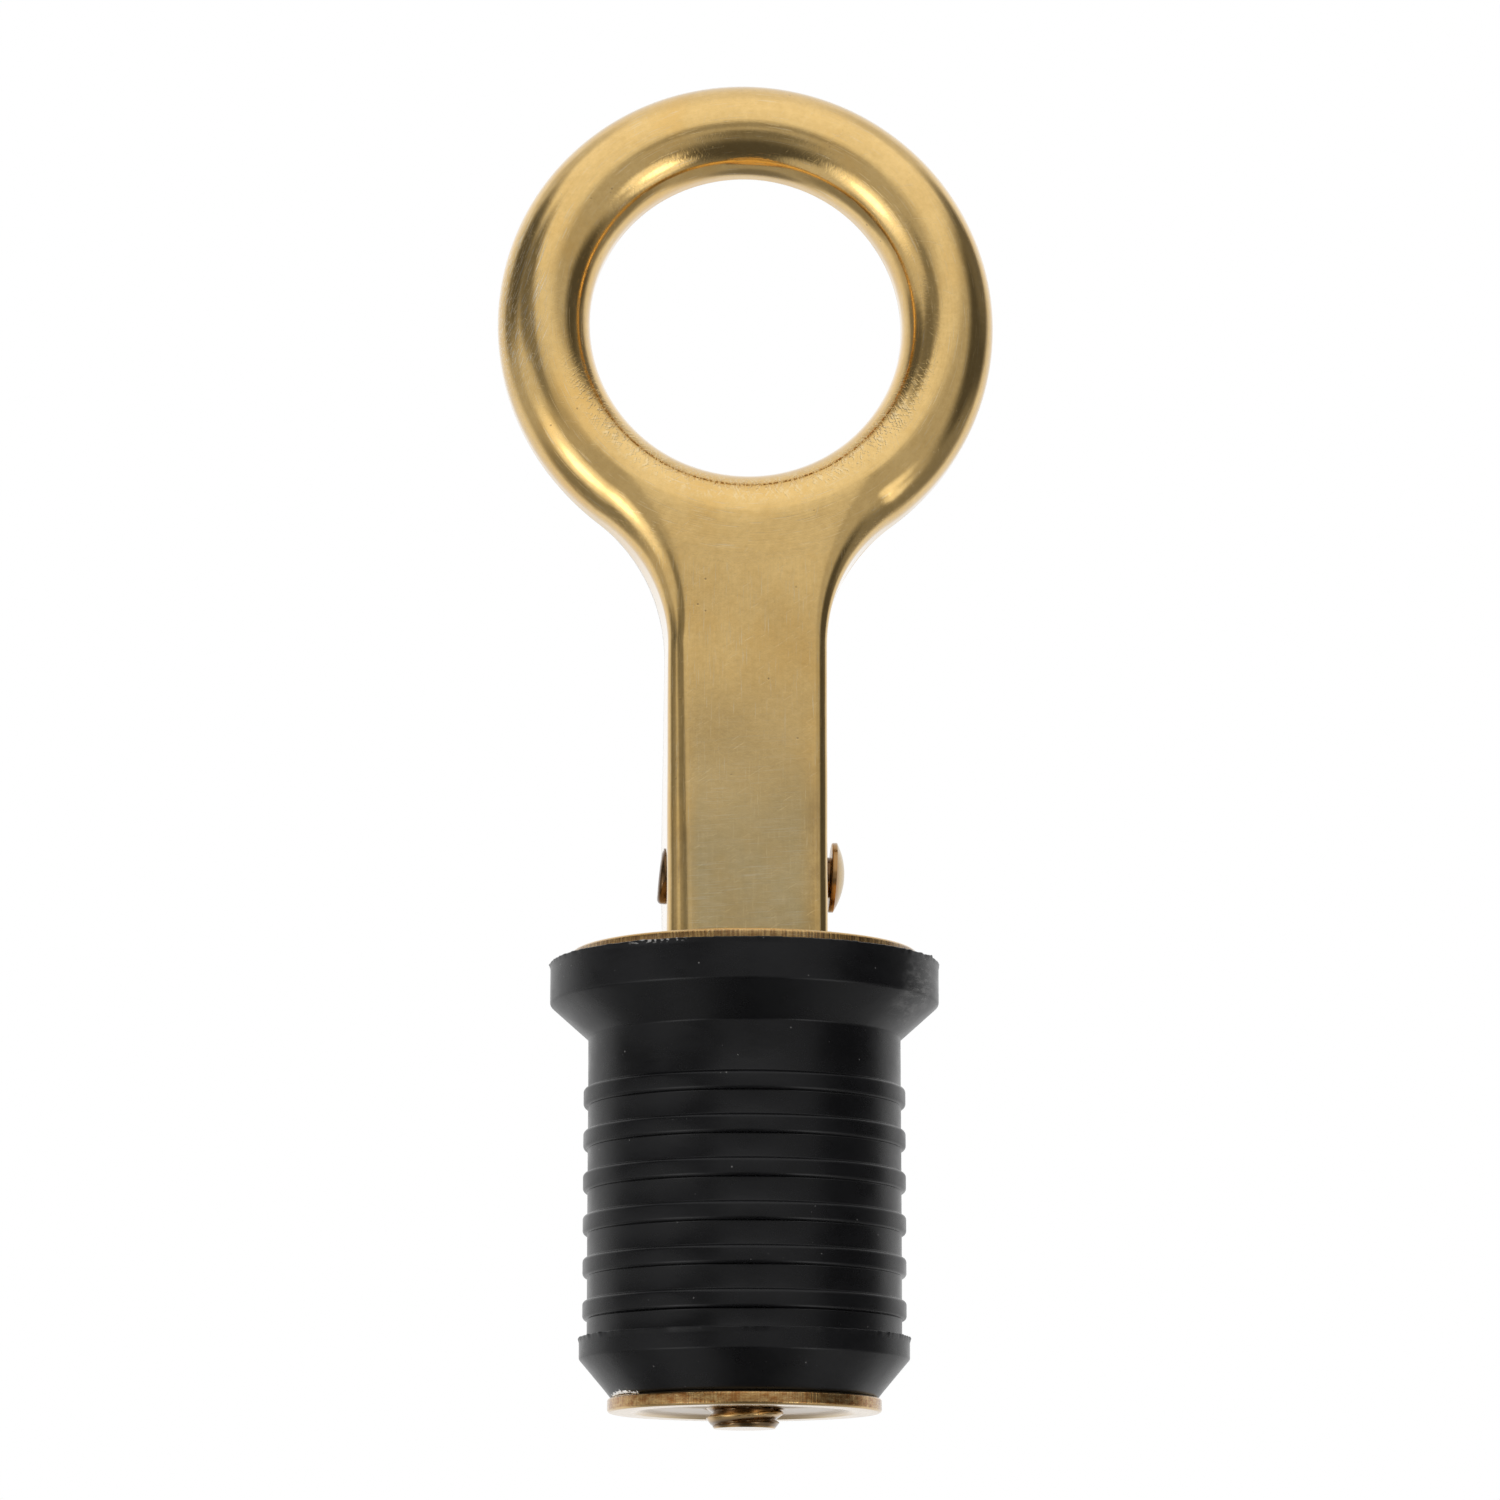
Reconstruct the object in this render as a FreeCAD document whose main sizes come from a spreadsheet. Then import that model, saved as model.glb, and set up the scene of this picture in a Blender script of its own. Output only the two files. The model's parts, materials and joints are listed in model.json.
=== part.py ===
import FreeCAD, Part
import math
import os
import Sketcher

# Lever-action drain plug for a boat, in millimetres.
# The origin is on the plug's axis, in the plane where the flange's cone meets the barrel, which is
# the mouth of the drain tube. +Z points out of the tube, and -Y is the front of the upright handle.

SIZES = [
    # Rubber stopper
    ("flange_dia", 30.4, "flange, outer diameter"),
    ("flange_rim", 3.15, "flange, height of the straight rim"),
    ("flange_cone", 2.7, "flange, height of the cone under the rim"),
    ("flange_round", 0.35, "flange, radius of the rim's edges"),
    ("barrel_dia", 24.4, "barrel between the ribs"),
    ("barrel_length", 27.9, "barrel, from the tube's mouth to the lower end"),
    ("rib_dia", 25.1, "sealing rib, outer diameter"),
    ("rib_width", 1.5, "sealing rib, height along the axis"),
    ("rib_round", 0.3, "sealing rib, radius of the crest's edges"),
    ("rib_pitch", 3.3, "sealing ribs, distance from one to the next"),
    ("rib_count", 6, "sealing ribs, number"),
    ("rib_start", 3.9, "first rib, distance of its upper edge below the tube's mouth"),
    ("skirt_dia", 25.6, "skirt, outer diameter"),
    ("skirt_rim", 1.6, "skirt, height of the straight rim"),
    ("skirt_cone", 3.0, "skirt, height of the cone under the rim"),
    ("end_dia", 20.6, "lower end of the skirt's cone"),
    # Washer and nut plate
    ("washer_dia", 27.2, "washer, outer diameter"),
    ("washer_thick", 0.9, "washer, thickness"),
    ("plate_dia", 21.2, "nut plate, outer diameter"),
    ("plate_thick", 1.1, "nut plate, thickness"),
    ("plate_dish", 0.25, "nut plate, depth of the dish in its underside"),
    ("plate_rim", 1.6, "nut plate, width of the flat rim round the dish"),
    ("hub_dia", 9.0, "nut hub, outer diameter"),
    ("hub_height", 3.4, "nut hub, height above the plate"),
    ("edge_round", 0.25, "washer and nut plate, radius of the stamped edges"),
    # Eye bolt
    ("rod_dia", 6.0, "eye bolt, rod diameter"),
    ("rod_tail", 1.2, "eye bolt, length below the nut plate"),
    ("rod_chamfer", 0.4, "eye bolt, chamfer of the threaded end"),
    ("eye_wall", 2.4, "eye bolt, wall round the rivet"),
    ("eye_round", 0.6, "eye bolt, radius of the eye's edges"),
    # Rivet
    ("rivet_dia", 3.2, "rivet, shank diameter"),
    ("head_dia", 5.5, "rivet, head diameter"),
    ("head_rim", 0.4, "rivet, height of the head's rim"),
    ("head_dome", 0.75, "rivet, height of the dome above the head's rim"),
    ("tail_dia", 4.4, "rivet, diameter of the rolled tail"),
    ("tail_roll", 0.6, "rivet, height and radius of the rolled tail"),
    ("tail_bore", 2.0, "rivet, diameter of the hollow in the tail"),
    ("tail_depth", 3.0, "rivet, depth of the hollow in the tail"),
    # Handle, pressed from one sheet
    ("sheet", 1.2, "handle, sheet thickness"),
    ("shank_width", 12.5, "handle, width of the shank"),
    ("bend_radius", 0.25, "handle, inner radius of the shank's long bends"),
    ("ring_dia", 39.6, "handle, outer diameter of the ring"),
    ("ring_hole", 24.9, "handle, hole of the ring"),
    ("ring_depth", 4.5, "handle, depth of the ring's section"),
    ("ring_height", 44.3, "handle, from the pivot to the ring's centre"),
    ("crown_flat", 0.15, "handle, width of the flat left on the ring's crown"),
    ("neck_radius", 13.0, "handle, radius of the neck beside the ring"),
    ("cam_low", 6.05, "handle, pivot to the ear's resting face, used upright"),
    ("cam_high", 8.75, "handle, pivot to the ear's pressing face, used folded"),
    ("land_height", 5.0, "handle, height of the pressing face above the pivot"),
    ("land_round", 7.0, "handle, radius above the pressing face"),
    ("taper_depth", 8.4, "handle, depth of the cheek where its steeper taper ends"),
    ("taper_height", 19.0, "handle, height of that place above the pivot"),
    ("neck_height", 29.0, "handle, height above the pivot where the cheek has the ring's depth"),
    ("cheek_round", 30.0, "handle, radius of the gentle turns in the cheek's back edge"),
    # Clearances
    ("rod_gap", 0.1, "rod in washer and rubber, radial"),
    ("thread_gap", 0.05, "rod in the nut plate's thread, radial"),
    ("rivet_gap", 0.05, "rivet in the eye, radial"),
    ("ear_gap", 0.02, "rivet in the ears, radial"),
    ("head_gap", 0.45, "rivet head off the ear"),
    ("side_gap", 0.35, "eye beside each ear"),
    ("web_gap", 0.25, "eye behind the handle's web"),
    ("cam_gap", 0.1, "ears above the washer"),
    ("hub_gap", 0.3, "hub in the rubber, all round and above"),
]

# Places that several pieces share, as heights above the tube's mouth
FLANGE_TOP = "(dims.flange_cone + dims.flange_rim)"
WASHER_TOP = f"({FLANGE_TOP} + dims.washer_thick)"
PIVOT = f"({WASHER_TOP} + dims.cam_gap + dims.cam_low)"
BARREL_END = "(-dims.barrel_length)"
SKIRT_BASE = f"({BARREL_END} + dims.skirt_cone)"
SKIRT_TOP = f"({SKIRT_BASE} + dims.skirt_rim)"
PLATE_BASE = f"({BARREL_END} - dims.plate_thick)"
HUB_TOP = f"({BARREL_END} + dims.hub_height)"
ROD_END = f"({PLATE_BASE} - dims.rod_tail)"

# Radii and widths that make one piece fit another
ROD_BORE = "(dims.rod_dia / 2 + dims.rod_gap)"
THREAD_BORE = "(dims.rod_dia / 2 + dims.thread_gap)"
EYE_BORE = "(dims.rivet_dia / 2 + dims.rivet_gap)"
EYE_RADIUS = f"({EYE_BORE} + dims.eye_wall)"
EYE_WIDTH = "(dims.shank_width - 2 * dims.sheet - 2 * dims.side_gap)"
WEB_FRONT = f"({EYE_RADIUS} + dims.web_gap + dims.sheet)"
EAR_FACE = "(dims.shank_width / 2)"

# The handle's outline: a neck arc touches the ring's circle and the shank's side
NECK_ACROSS = "(dims.shank_width / 2 + dims.neck_radius)"
NECK_REACH = "(dims.ring_dia / 2 + dims.neck_radius)"
NECK_DROP = f"sqrt({NECK_REACH} ^ 2 - {NECK_ACROSS} ^ 2)"
CROWN_RADIUS = "((dims.ring_dia - dims.ring_hole - 2 * dims.crown_flat) / 4)"
CORNER_RADIUS = "(dims.bend_radius + dims.sheet)"

CAM_POINTS = 9      # points of the cam curve, both ends included
MARGIN = 2.0        # how far a cutting solid reaches past what it cuts
NEAR = 1e-4         # two lengths closer than this are equal


def add_sheet():
    """Put each driving size in a row of its own, under its name."""
    sheet = doc.addObject("Spreadsheet::Sheet", "dims")
    for row, (alias, size, meaning) in enumerate(SIZES, start=1):
        sheet.set(f"A{row}", meaning)
        sheet.set(f"B{row}", str(size))
        sheet.setAlias(f"B{row}", alias)
    doc.recompute()
    return sheet


def value(expression):
    """The number that an expression in the sheet's names stands for."""
    return float(dims.evalExpression(expression))


def point(across, along):
    """A point of a sketch, from two expressions."""
    return FreeCAD.Vector(value(across), value(along), 0)


def add_body(label):
    body = doc.addObject("PartDesign::Body", label)
    body.Label = label
    return body


def base_part(body, role):
    """One of the body's own base planes or axes."""
    return next(part for part in body.Origin.OriginFeatures if part.Role == role)


def add_sketch(body, plane, name, lift="0"):
    """A sketch on one of the body's own base planes, moved along the plane's normal by lift."""
    sketch = body.newObject("Sketcher::SketchObject", name)
    sketch.AttachmentSupport = [(base_part(body, plane), "")]
    sketch.MapMode = "FlatFace"
    sketch.setExpression("AttachmentOffset.Base.z", lift)
    doc.recompute()
    return sketch


def bind(sketch, constraint, expression):
    """Add a constraint whose size follows an expression."""
    index = sketch.addConstraint(Sketcher.Constraint(*constraint, value(expression)))
    sketch.setExpression(f"Constraints[{index}]", expression)


def fix_point(sketch, edge, end, across, along):
    """Hold one point of an edge at two expressions, measured from the sketch's origin."""
    bind(sketch, ("DistanceX", -1, 1, edge, end), across)
    bind(sketch, ("DistanceY", -1, 1, edge, end), along)


def draw_circle(sketch, radius, across="0", along="0"):
    centre = point(across, along)
    edge = sketch.addGeometry(Part.Circle(centre, FreeCAD.Vector(0, 0, 1), value(radius)))
    fix_point(sketch, edge, 3, across, along)
    bind(sketch, ("Radius", edge), radius)


def arc_between(start, end, centre):
    """The shorter arc about a centre from start to end."""
    radius = (start - centre).Length
    towards = (start - centre).normalize() + (end - centre).normalize()
    return Part.Arc(start, centre + towards.normalize() * radius, end)


def draw_outline(sketch, corners, arcs=None):
    """Draw a closed outline through corners, which are pairs of expressions.

    arcs gives, for an edge that is no straight line, its centre as a pair of expressions. The edge
    that starts at a corner has the corner's number.
    """
    arcs = arcs or {}
    points = [point(*corner) for corner in corners]
    ends = []
    for number, (start, end) in enumerate(zip(points, points[1:] + points[:1])):
        if number in arcs:
            edge = sketch.addGeometry(arc_between(start, end, point(*arcs[number])))
        else:
            edge = sketch.addGeometry(Part.LineSegment(start, end))
        forward = sketch.getPoint(edge, 1).distanceToPoint(start) < NEAR
        ends.append((edge, 1, 2) if forward else (edge, 2, 1))
    for (edge, first, last), (following, begin, _) in zip(ends, ends[1:] + ends[:1]):
        sketch.addConstraint(Sketcher.Constraint("Coincident", edge, last, following, begin))
    for (edge, first, _), corner in zip(ends, corners):
        fix_point(sketch, edge, first, *corner)
    for number, (across, _) in arcs.items():
        bind(sketch, ("DistanceX", -1, 1, ends[number][0], 3), across)


def revolve(body, sketch, name, axis="V_Axis"):
    feature = body.newObject("PartDesign::Revolution", name)
    feature.Profile = sketch
    feature.ReferenceAxis = (sketch, [axis])
    feature.Angle = 360
    doc.recompute()
    return feature


def pad(body, sketch, name, length, sides="One side", reverse=False):
    feature = body.newObject("PartDesign::Pad", name)
    feature.Profile = sketch
    feature.SideType = sides
    feature.Reversed = reverse
    feature.setExpression("Length", length)
    doc.recompute()
    return feature


def circle_edges(feature, radius, height):
    """Names of the full circles about the Z axis with this radius and height."""
    names = []
    for number, edge in enumerate(feature.Shape.Edges, start=1):
        if not isinstance(edge.Curve, Part.Circle):
            continue
        centre = edge.Curve.Center
        off = (math.hypot(centre.x, centre.y), centre.z - value(height), edge.Curve.Radius - value(radius))
        if max(abs(length) for length in off) < NEAR:
            names.append(f"Edge{number}")
    return names


def round_edges(body, feature, name, edges, radius):
    fillet = body.newObject("PartDesign::Fillet", name)
    fillet.Base = (feature, edges)
    fillet.setExpression("Radius", radius)
    doc.recompute()
    return fillet


def make_rubber_plug():
    """Stopper with a flange, sealing ribs and a skirt, moulded round the eye bolt's rod."""
    body = add_body("rubber_plug")
    flange = "dims.flange_dia / 2"
    barrel = "dims.barrel_dia / 2"
    skirt = "dims.skirt_dia / 2"
    recess = "dims.hub_dia / 2 + dims.hub_gap"
    recess_top = f"{HUB_TOP} + dims.hub_gap"
    section = add_sketch(body, "XZ_Plane", "stopper_section")
    draw_outline(section, [
        (ROD_BORE, FLANGE_TOP),
        (flange, FLANGE_TOP),
        (flange, "dims.flange_cone"),
        (barrel, "0"),
        (barrel, SKIRT_TOP),
        (skirt, SKIRT_TOP),
        (skirt, SKIRT_BASE),
        ("dims.end_dia / 2", BARREL_END),
        (recess, BARREL_END),
        (recess, recess_top),
        (ROD_BORE, recess_top),
    ])
    core = revolve(body, section, "stopper_core")
    rims = circle_edges(core, flange, FLANGE_TOP) + circle_edges(core, flange, "dims.flange_cone")
    round_edges(body, core, "flange_edges", rims, "dims.flange_round")
    first_rib = revolve(body, draw_rib(body), "first_rib")
    ribs = body.newObject("PartDesign::LinearPattern", "sealing_ribs")
    ribs.Originals = [first_rib]
    ribs.Direction = (base_part(body, "Z_Axis"), [""])
    ribs.Reversed = True
    ribs.setExpression("Length", "(dims.rib_count - 1) * dims.rib_pitch")
    ribs.setExpression("Occurrences", "dims.rib_count")
    body.Tip = ribs
    return body


def draw_rib(body):
    """Section of the first rib: two flanks and a crest with rounded edges, rooted in the barrel."""
    top = "-dims.rib_start"
    base = "-dims.rib_start - dims.rib_width"
    root = "dims.barrel_dia / 2 - dims.rib_round"
    crest = "dims.rib_dia / 2"
    inner = f"{crest} - dims.rib_round"
    upper = f"{top} - dims.rib_round"
    lower = f"{base} + dims.rib_round"
    sketch = add_sketch(body, "XZ_Plane", "rib_section")
    corners = [(root, base), (inner, base), (crest, lower), (crest, upper), (inner, top), (root, top)]
    draw_outline(sketch, corners, arcs={1: (inner, lower), 3: (inner, upper)})
    return sketch


def make_top_washer():
    """Stamped washer between the rubber and the cam ears."""
    body = add_body("top_washer")
    rim = "dims.washer_dia / 2"
    sketch = add_sketch(body, "XY_Plane", "washer_outline", lift=FLANGE_TOP)
    draw_circle(sketch, rim)
    draw_circle(sketch, ROD_BORE)
    disc = pad(body, sketch, "washer_disc", "dims.washer_thick")
    edges = circle_edges(disc, rim, FLANGE_TOP) + circle_edges(disc, rim, WASHER_TOP)
    round_edges(body, disc, "washer_edges", edges, "dims.edge_round")
    return body


def make_nut_plate():
    """Round plate with a shallow dish below and a threaded hub that stands up into the rubber."""
    body = add_body("nut_plate")
    rim = "dims.plate_dia / 2"
    hub = "dims.hub_dia / 2"
    sketch = add_sketch(body, "XZ_Plane", "plate_section")
    draw_outline(sketch, [
        (THREAD_BORE, HUB_TOP),
        (hub, HUB_TOP),
        (hub, BARREL_END),
        (rim, BARREL_END),
        (rim, PLATE_BASE),
        (f"{rim} - dims.plate_rim", PLATE_BASE),
        (THREAD_BORE, f"{PLATE_BASE} + dims.plate_dish"),
    ])
    plate = revolve(body, sketch, "plate_and_hub")
    edges = circle_edges(plate, rim, BARREL_END) + circle_edges(plate, rim, PLATE_BASE)
    round_edges(body, plate, "plate_edges", edges, "dims.edge_round")
    return body


def make_eye_bolt():
    """Rod with a chamfered lower end and a flat-sided eye round the rivet."""
    body = add_body("eye_bolt")
    rod_outline = add_sketch(body, "XY_Plane", "rod_outline", lift=ROD_END)
    draw_circle(rod_outline, "dims.rod_dia / 2")
    rod = pad(body, rod_outline, "rod", f"{PIVOT} - {ROD_END}")
    chamfer = body.newObject("PartDesign::Chamfer", "rod_chamfer")
    chamfer.Base = (rod, circle_edges(rod, "dims.rod_dia / 2", ROD_END))
    chamfer.setExpression("Size", "dims.rod_chamfer")

    eye_outline = add_sketch(body, "YZ_Plane", "eye_outline")
    draw_circle(eye_outline, EYE_RADIUS, "0", PIVOT)
    eye = pad(body, eye_outline, "eye", EYE_WIDTH, sides="Symmetric")
    rims = []
    for number, edge in enumerate(eye.Shape.Edges, start=1):
        on_side = abs(abs(edge.CenterOfMass.x) - value(EYE_WIDTH) / 2) < NEAR
        if on_side and isinstance(edge.Curve, Part.Circle):
            rims.append(f"Edge{number}")
    round_edges(body, eye, "eye_edges", rims, "dims.eye_round")

    hole_outline = add_sketch(body, "YZ_Plane", "eye_hole_outline")
    draw_circle(hole_outline, EYE_BORE, "0", PIVOT)
    hole = body.newObject("PartDesign::Pocket", "eye_hole")
    hole.Profile = hole_outline
    hole.SideType = "Symmetric"
    hole.setExpression("Length", f"{EYE_WIDTH} + 2 * dims.side_gap")
    return body


def make_pivot_rivet():
    """Semi-tubular rivet along X through the pivot: domed head at +X, rolled hollow tail at -X."""
    body = add_body("pivot_rivet")
    shank = "dims.rivet_dia / 2"
    head = "dims.head_dia / 2"
    tail = "dims.tail_dia / 2"
    bore = "dims.tail_bore / 2"
    roll = f"{tail} - dims.tail_roll"
    head_base = f"{EAR_FACE} + dims.head_gap"
    head_edge = f"{head_base} + dims.head_rim"
    head_top = f"{head_edge} + dims.head_dome"
    dome_radius = f"(({head}) ^ 2 + dims.head_dome ^ 2) / (2 * dims.head_dome)"
    ear = f"-{EAR_FACE}"
    tail_end = f"{ear} - dims.tail_roll"
    bore_end = f"{tail_end} + dims.tail_depth"
    corners = [
        (head_top, "0"), (bore_end, "0"), (bore_end, bore), (ear, bore), (tail_end, roll),
        (ear, tail), (ear, shank), (head_base, shank), (head_base, head), (head_edge, head),
    ]
    sketch = add_sketch(body, "XZ_Plane", "rivet_section")
    arcs = {4: (ear, roll), 9: (f"{head_top} - {dome_radius}", "0")}
    draw_outline(sketch, corners, arcs)
    revolve(body, sketch, "rivet_turned", axis="H_Axis")
    body.setExpression("Placement.Base.z", PIVOT)
    return body


def make_half_form(label, inset):
    """Left half of the solid inside the handle's front outline, set in by inset, its front rounded.

    The ring's edges have the crown's radius, the shank's edge the corner's, and along the neck the
    one passes into the other.
    """
    front = f"({WEB_FRONT} - {inset})"
    shank = f"(dims.shank_width / 2 - {inset})"
    ring = f"(dims.ring_dia / 2 - {inset})"
    hole = f"(dims.ring_hole / 2 + {inset})"
    touch = f"{ring} / {NECK_REACH}"
    neck = f"dims.ring_height - {NECK_DROP}"
    end = f"-dims.cam_low - {MARGIN}"
    corners = [
        ("0", end),
        (f"-{shank}", end),
        (f"-{shank}", neck),
        (f"-{NECK_ACROSS} * {touch}", f"dims.ring_height - {NECK_DROP} * {touch}"),
        ("0", f"dims.ring_height + {ring}"),
        ("0", f"dims.ring_height + {hole}"),
        (f"-{hole}", "dims.ring_height"),
        ("0", f"dims.ring_height - {hole}"),
    ]
    centre = ("0", "dims.ring_height")
    arcs = {2: (f"-{NECK_ACROSS}", neck), 3: centre, 5: centre, 6: centre}

    body = add_body(label)
    sketch = add_sketch(body, "XZ_Plane", f"{label}_outline", lift=front)
    draw_outline(sketch, corners, arcs)
    pad(body, sketch, f"{label}_block", f"{front} + dims.cam_high + {MARGIN}", reverse=True)

    crown = value(f"{CROWN_RADIUS} - {inset}")
    corner = value(f"{CORNER_RADIUS} - {inset}")
    rounds = []
    for number, edge in enumerate(body.Shape.Edges, start=1):
        box = edge.BoundBox
        in_front = box.YMax < NEAR - value(front)
        in_middle = box.XMin > -NEAR
        if not in_front or in_middle or box.ZMax < value(end) + NEAR:
            continue
        if isinstance(edge.Curve, Part.Line):
            rounds.append((number, corner, corner))
        elif abs(edge.Curve.Center.x) < NEAR:
            rounds.append((number, crown, crown))
        else:
            starts_low = edge.firstVertex(True).Z < box.ZMin + NEAR
            rounds.append((number, corner, crown) if starts_low else (number, crown, corner))
    form = doc.addObject("Part::Fillet", f"{label}_rounded")
    form.Base = body
    form.Edges = rounds
    doc.recompute()
    return form


def rounded_edges(points, radii):
    """Straight edges through points, with arcs of the given radii that touch both runs at each."""
    edges = []
    last = points[0]
    for before, corner, after, radius in zip(points, points[1:], points[2:], radii):
        back = (before - corner).normalize()
        ahead = (after - corner).normalize()
        half = back.getAngle(ahead) / 2
        reach = radius / math.tan(half)
        centre = corner + (back + ahead).normalize() * (radius / math.sin(half))
        start = corner + back * reach
        end = corner + ahead * reach
        edges += [Part.LineSegment(last, start).toShape(), arc_between(start, end, centre).toShape()]
        last = end
    return edges + [Part.LineSegment(last, points[-1]).toShape()]


def cam_edge(low, high):
    """The ear's cam: its distance below the pivot grows from low to high evenly over a quarter turn.

    The face is the envelope of a straight line, the washer's top, seen from the turning handle.
    """
    growth = (high - low) / (math.pi / 2)
    points = []
    for number in range(CAM_POINTS):
        angle = number * math.pi / 2 / (CAM_POINTS - 1)
        reach = low + growth * angle
        points.append(FreeCAD.Vector(
            0,
            reach * math.sin(angle) + growth * math.cos(angle),
            growth * math.sin(angle) - reach * math.cos(angle),
        ))
    curve = Part.BSplineCurve()
    curve.interpolate(Points=points, InitialTangent=FreeCAD.Vector(0, 1, 0),
                      FinalTangent=FreeCAD.Vector(0, 0, 1))
    return curve.toShape()


def make_handle_side():
    """Solid with the handle's side outline: ear with its cam, tapering cheek and the ring's depth."""
    front = -value(WEB_FRONT) - MARGIN
    ring_back = value(f"dims.ring_depth - {WEB_FRONT}")
    top = value("dims.ring_height + dims.ring_dia / 2") + MARGIN
    cam = cam_edge(value("dims.cam_low"), value("dims.cam_high"))
    foot = cam.valueAt(cam.FirstParameter)
    heel = cam.valueAt(cam.LastParameter)
    back = [
        heel,
        FreeCAD.Vector(0, value("dims.cam_high"), value("dims.land_height")),
        FreeCAD.Vector(0, value(f"dims.taper_depth - {WEB_FRONT}"), value("dims.taper_height")),
        FreeCAD.Vector(0, ring_back, value("dims.neck_height")),
        FreeCAD.Vector(0, ring_back, top),
    ]
    gentle = value("dims.cheek_round")
    edges = rounded_edges(back, [value("dims.land_round"), gentle, gentle])
    frame = [back[-1], FreeCAD.Vector(0, front, top), FreeCAD.Vector(0, front, foot.z), foot]
    edges += [Part.LineSegment(*ends).toShape() for ends in zip(frame, frame[1:])]
    face = Part.Face(Part.Wire(Part.__sortEdges__(edges + [cam])))
    width = value("dims.ring_dia") + 2 * MARGIN
    face.translate(FreeCAD.Vector(-width / 2, 0, 0))
    side = doc.addObject("Part::Feature", "handle_side")
    side.Shape = face.extrude(FreeCAD.Vector(width, 0, 0))
    return side


def make_lever_handle():
    """Handle pressed from one sheet: hollow half-round ring, channel shank and two cam ears."""
    shell = doc.addObject("Part::Cut", "half_shell")
    shell.Base = make_half_form("half_outside", "0")
    shell.Tool = make_half_form("half_inside", "dims.sheet")
    trimmed = doc.addObject("Part::Common", "half_trimmed")
    trimmed.Base = shell
    trimmed.Tool = make_handle_side()
    drill = doc.addObject("Part::Cylinder", "ear_drill")
    drill.setExpression("Radius", "dims.rivet_dia / 2 + dims.ear_gap")
    drill.setExpression("Height", f"dims.shank_width / 2 + {MARGIN}")
    drill.Placement.Rotation = FreeCAD.Rotation(FreeCAD.Vector(0, 1, 0), -90)
    left = doc.addObject("Part::Cut", "left_half")
    left.Base = trimmed
    left.Tool = drill
    right = doc.addObject("Part::Mirroring", "right_half")
    right.Source = left
    right.Normal = FreeCAD.Vector(1, 0, 0)
    handle = doc.addObject("Part::Fuse", "lever_handle")
    handle.Base = left
    handle.Tool = right
    handle.Refine = True
    handle.setExpression("Placement.Base.z", PIVOT)
    return handle


def check(pieces):
    """Stop if any object failed, or if a piece is not one closed, valid solid."""
    failed = [thing.Name for thing in doc.Objects if {"Invalid", "Error"} & set(thing.State)]
    if failed:
        raise RuntimeError(f"failed: {failed}")
    for piece in pieces:
        shape = piece.Shape
        if shape.isNull() or not shape.isValid() or len(shape.Solids) != 1 or shape.Volume <= 0:
            raise RuntimeError(f"{piece.Label} is no valid solid")


doc = FreeCAD.newDocument("drain_plug")
dims = add_sheet()
pieces = [
    make_rubber_plug(),
    make_top_washer(),
    make_nut_plate(),
    make_eye_bolt(),
    make_pivot_rivet(),
    make_lever_handle(),
]
doc.recompute()
check(pieces)

os.makedirs("parts", exist_ok=True)
for piece in pieces:
    piece.Shape.exportStep(f"parts/{piece.Label}.step")
    box = piece.Shape.BoundBox
    print(f"{piece.Label}: {piece.Shape.Volume:.1f} mm3, z {box.ZMin:.2f} to {box.ZMax:.2f}")
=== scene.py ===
import json
import math

import bmesh
import bpy
import numpy as np
from mathutils import Matrix, Vector, noise
from mathutils.geometry import delaunay_2d_cdt


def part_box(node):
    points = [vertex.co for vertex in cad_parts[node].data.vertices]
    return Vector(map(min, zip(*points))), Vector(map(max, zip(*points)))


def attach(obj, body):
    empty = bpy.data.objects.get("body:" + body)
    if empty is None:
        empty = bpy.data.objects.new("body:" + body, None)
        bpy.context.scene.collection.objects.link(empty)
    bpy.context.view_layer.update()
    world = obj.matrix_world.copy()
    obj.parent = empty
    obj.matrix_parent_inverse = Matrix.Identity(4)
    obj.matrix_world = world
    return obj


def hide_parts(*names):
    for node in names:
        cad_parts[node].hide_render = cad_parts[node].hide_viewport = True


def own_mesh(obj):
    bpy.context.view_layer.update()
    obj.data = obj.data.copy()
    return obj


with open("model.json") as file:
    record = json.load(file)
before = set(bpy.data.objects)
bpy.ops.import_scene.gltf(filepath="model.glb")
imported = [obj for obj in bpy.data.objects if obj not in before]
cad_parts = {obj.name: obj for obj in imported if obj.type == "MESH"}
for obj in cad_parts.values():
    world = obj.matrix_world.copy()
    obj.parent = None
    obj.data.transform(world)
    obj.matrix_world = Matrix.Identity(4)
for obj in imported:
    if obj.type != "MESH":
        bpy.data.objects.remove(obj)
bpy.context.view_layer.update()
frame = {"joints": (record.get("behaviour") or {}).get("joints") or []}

# Looks of the drain plug. Sizes are in millimetres in the part's frame, unless a name says otherwise:
# +Z out of the tube, -Y the front of the upright handle, heights from the tube's mouth.
MM = 0.001
JOINTS = {joint["name"]: joint for joint in frame["joints"]}

ARC_STEP = math.radians(9)      # turn of one facet in a rounded corner
FULL_ARC = 0.5                  # corners of a smaller radius have fewer and larger facets
WELD = 0.002                    # points nearer than this become one


def span(node):
    """Lowest and highest corner of a CAD node, in millimetres."""
    low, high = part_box(node)
    return np.array(low) / MM, np.array(high) / MM


FLANGE_LOW, FLANGE_HIGH = span("rubber_plug")
PLATE_LOW, PLATE_HIGH = span("nut_plate")
WASHER_HIGH = span("top_washer")[1]
HANDLE_LOW, HANDLE_HIGH = span("lever_handle")
BOLT_LOW, BOLT_HIGH = span("eye_bolt")
RIVET_HIGH = span("pivot_rivet")[1]

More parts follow.
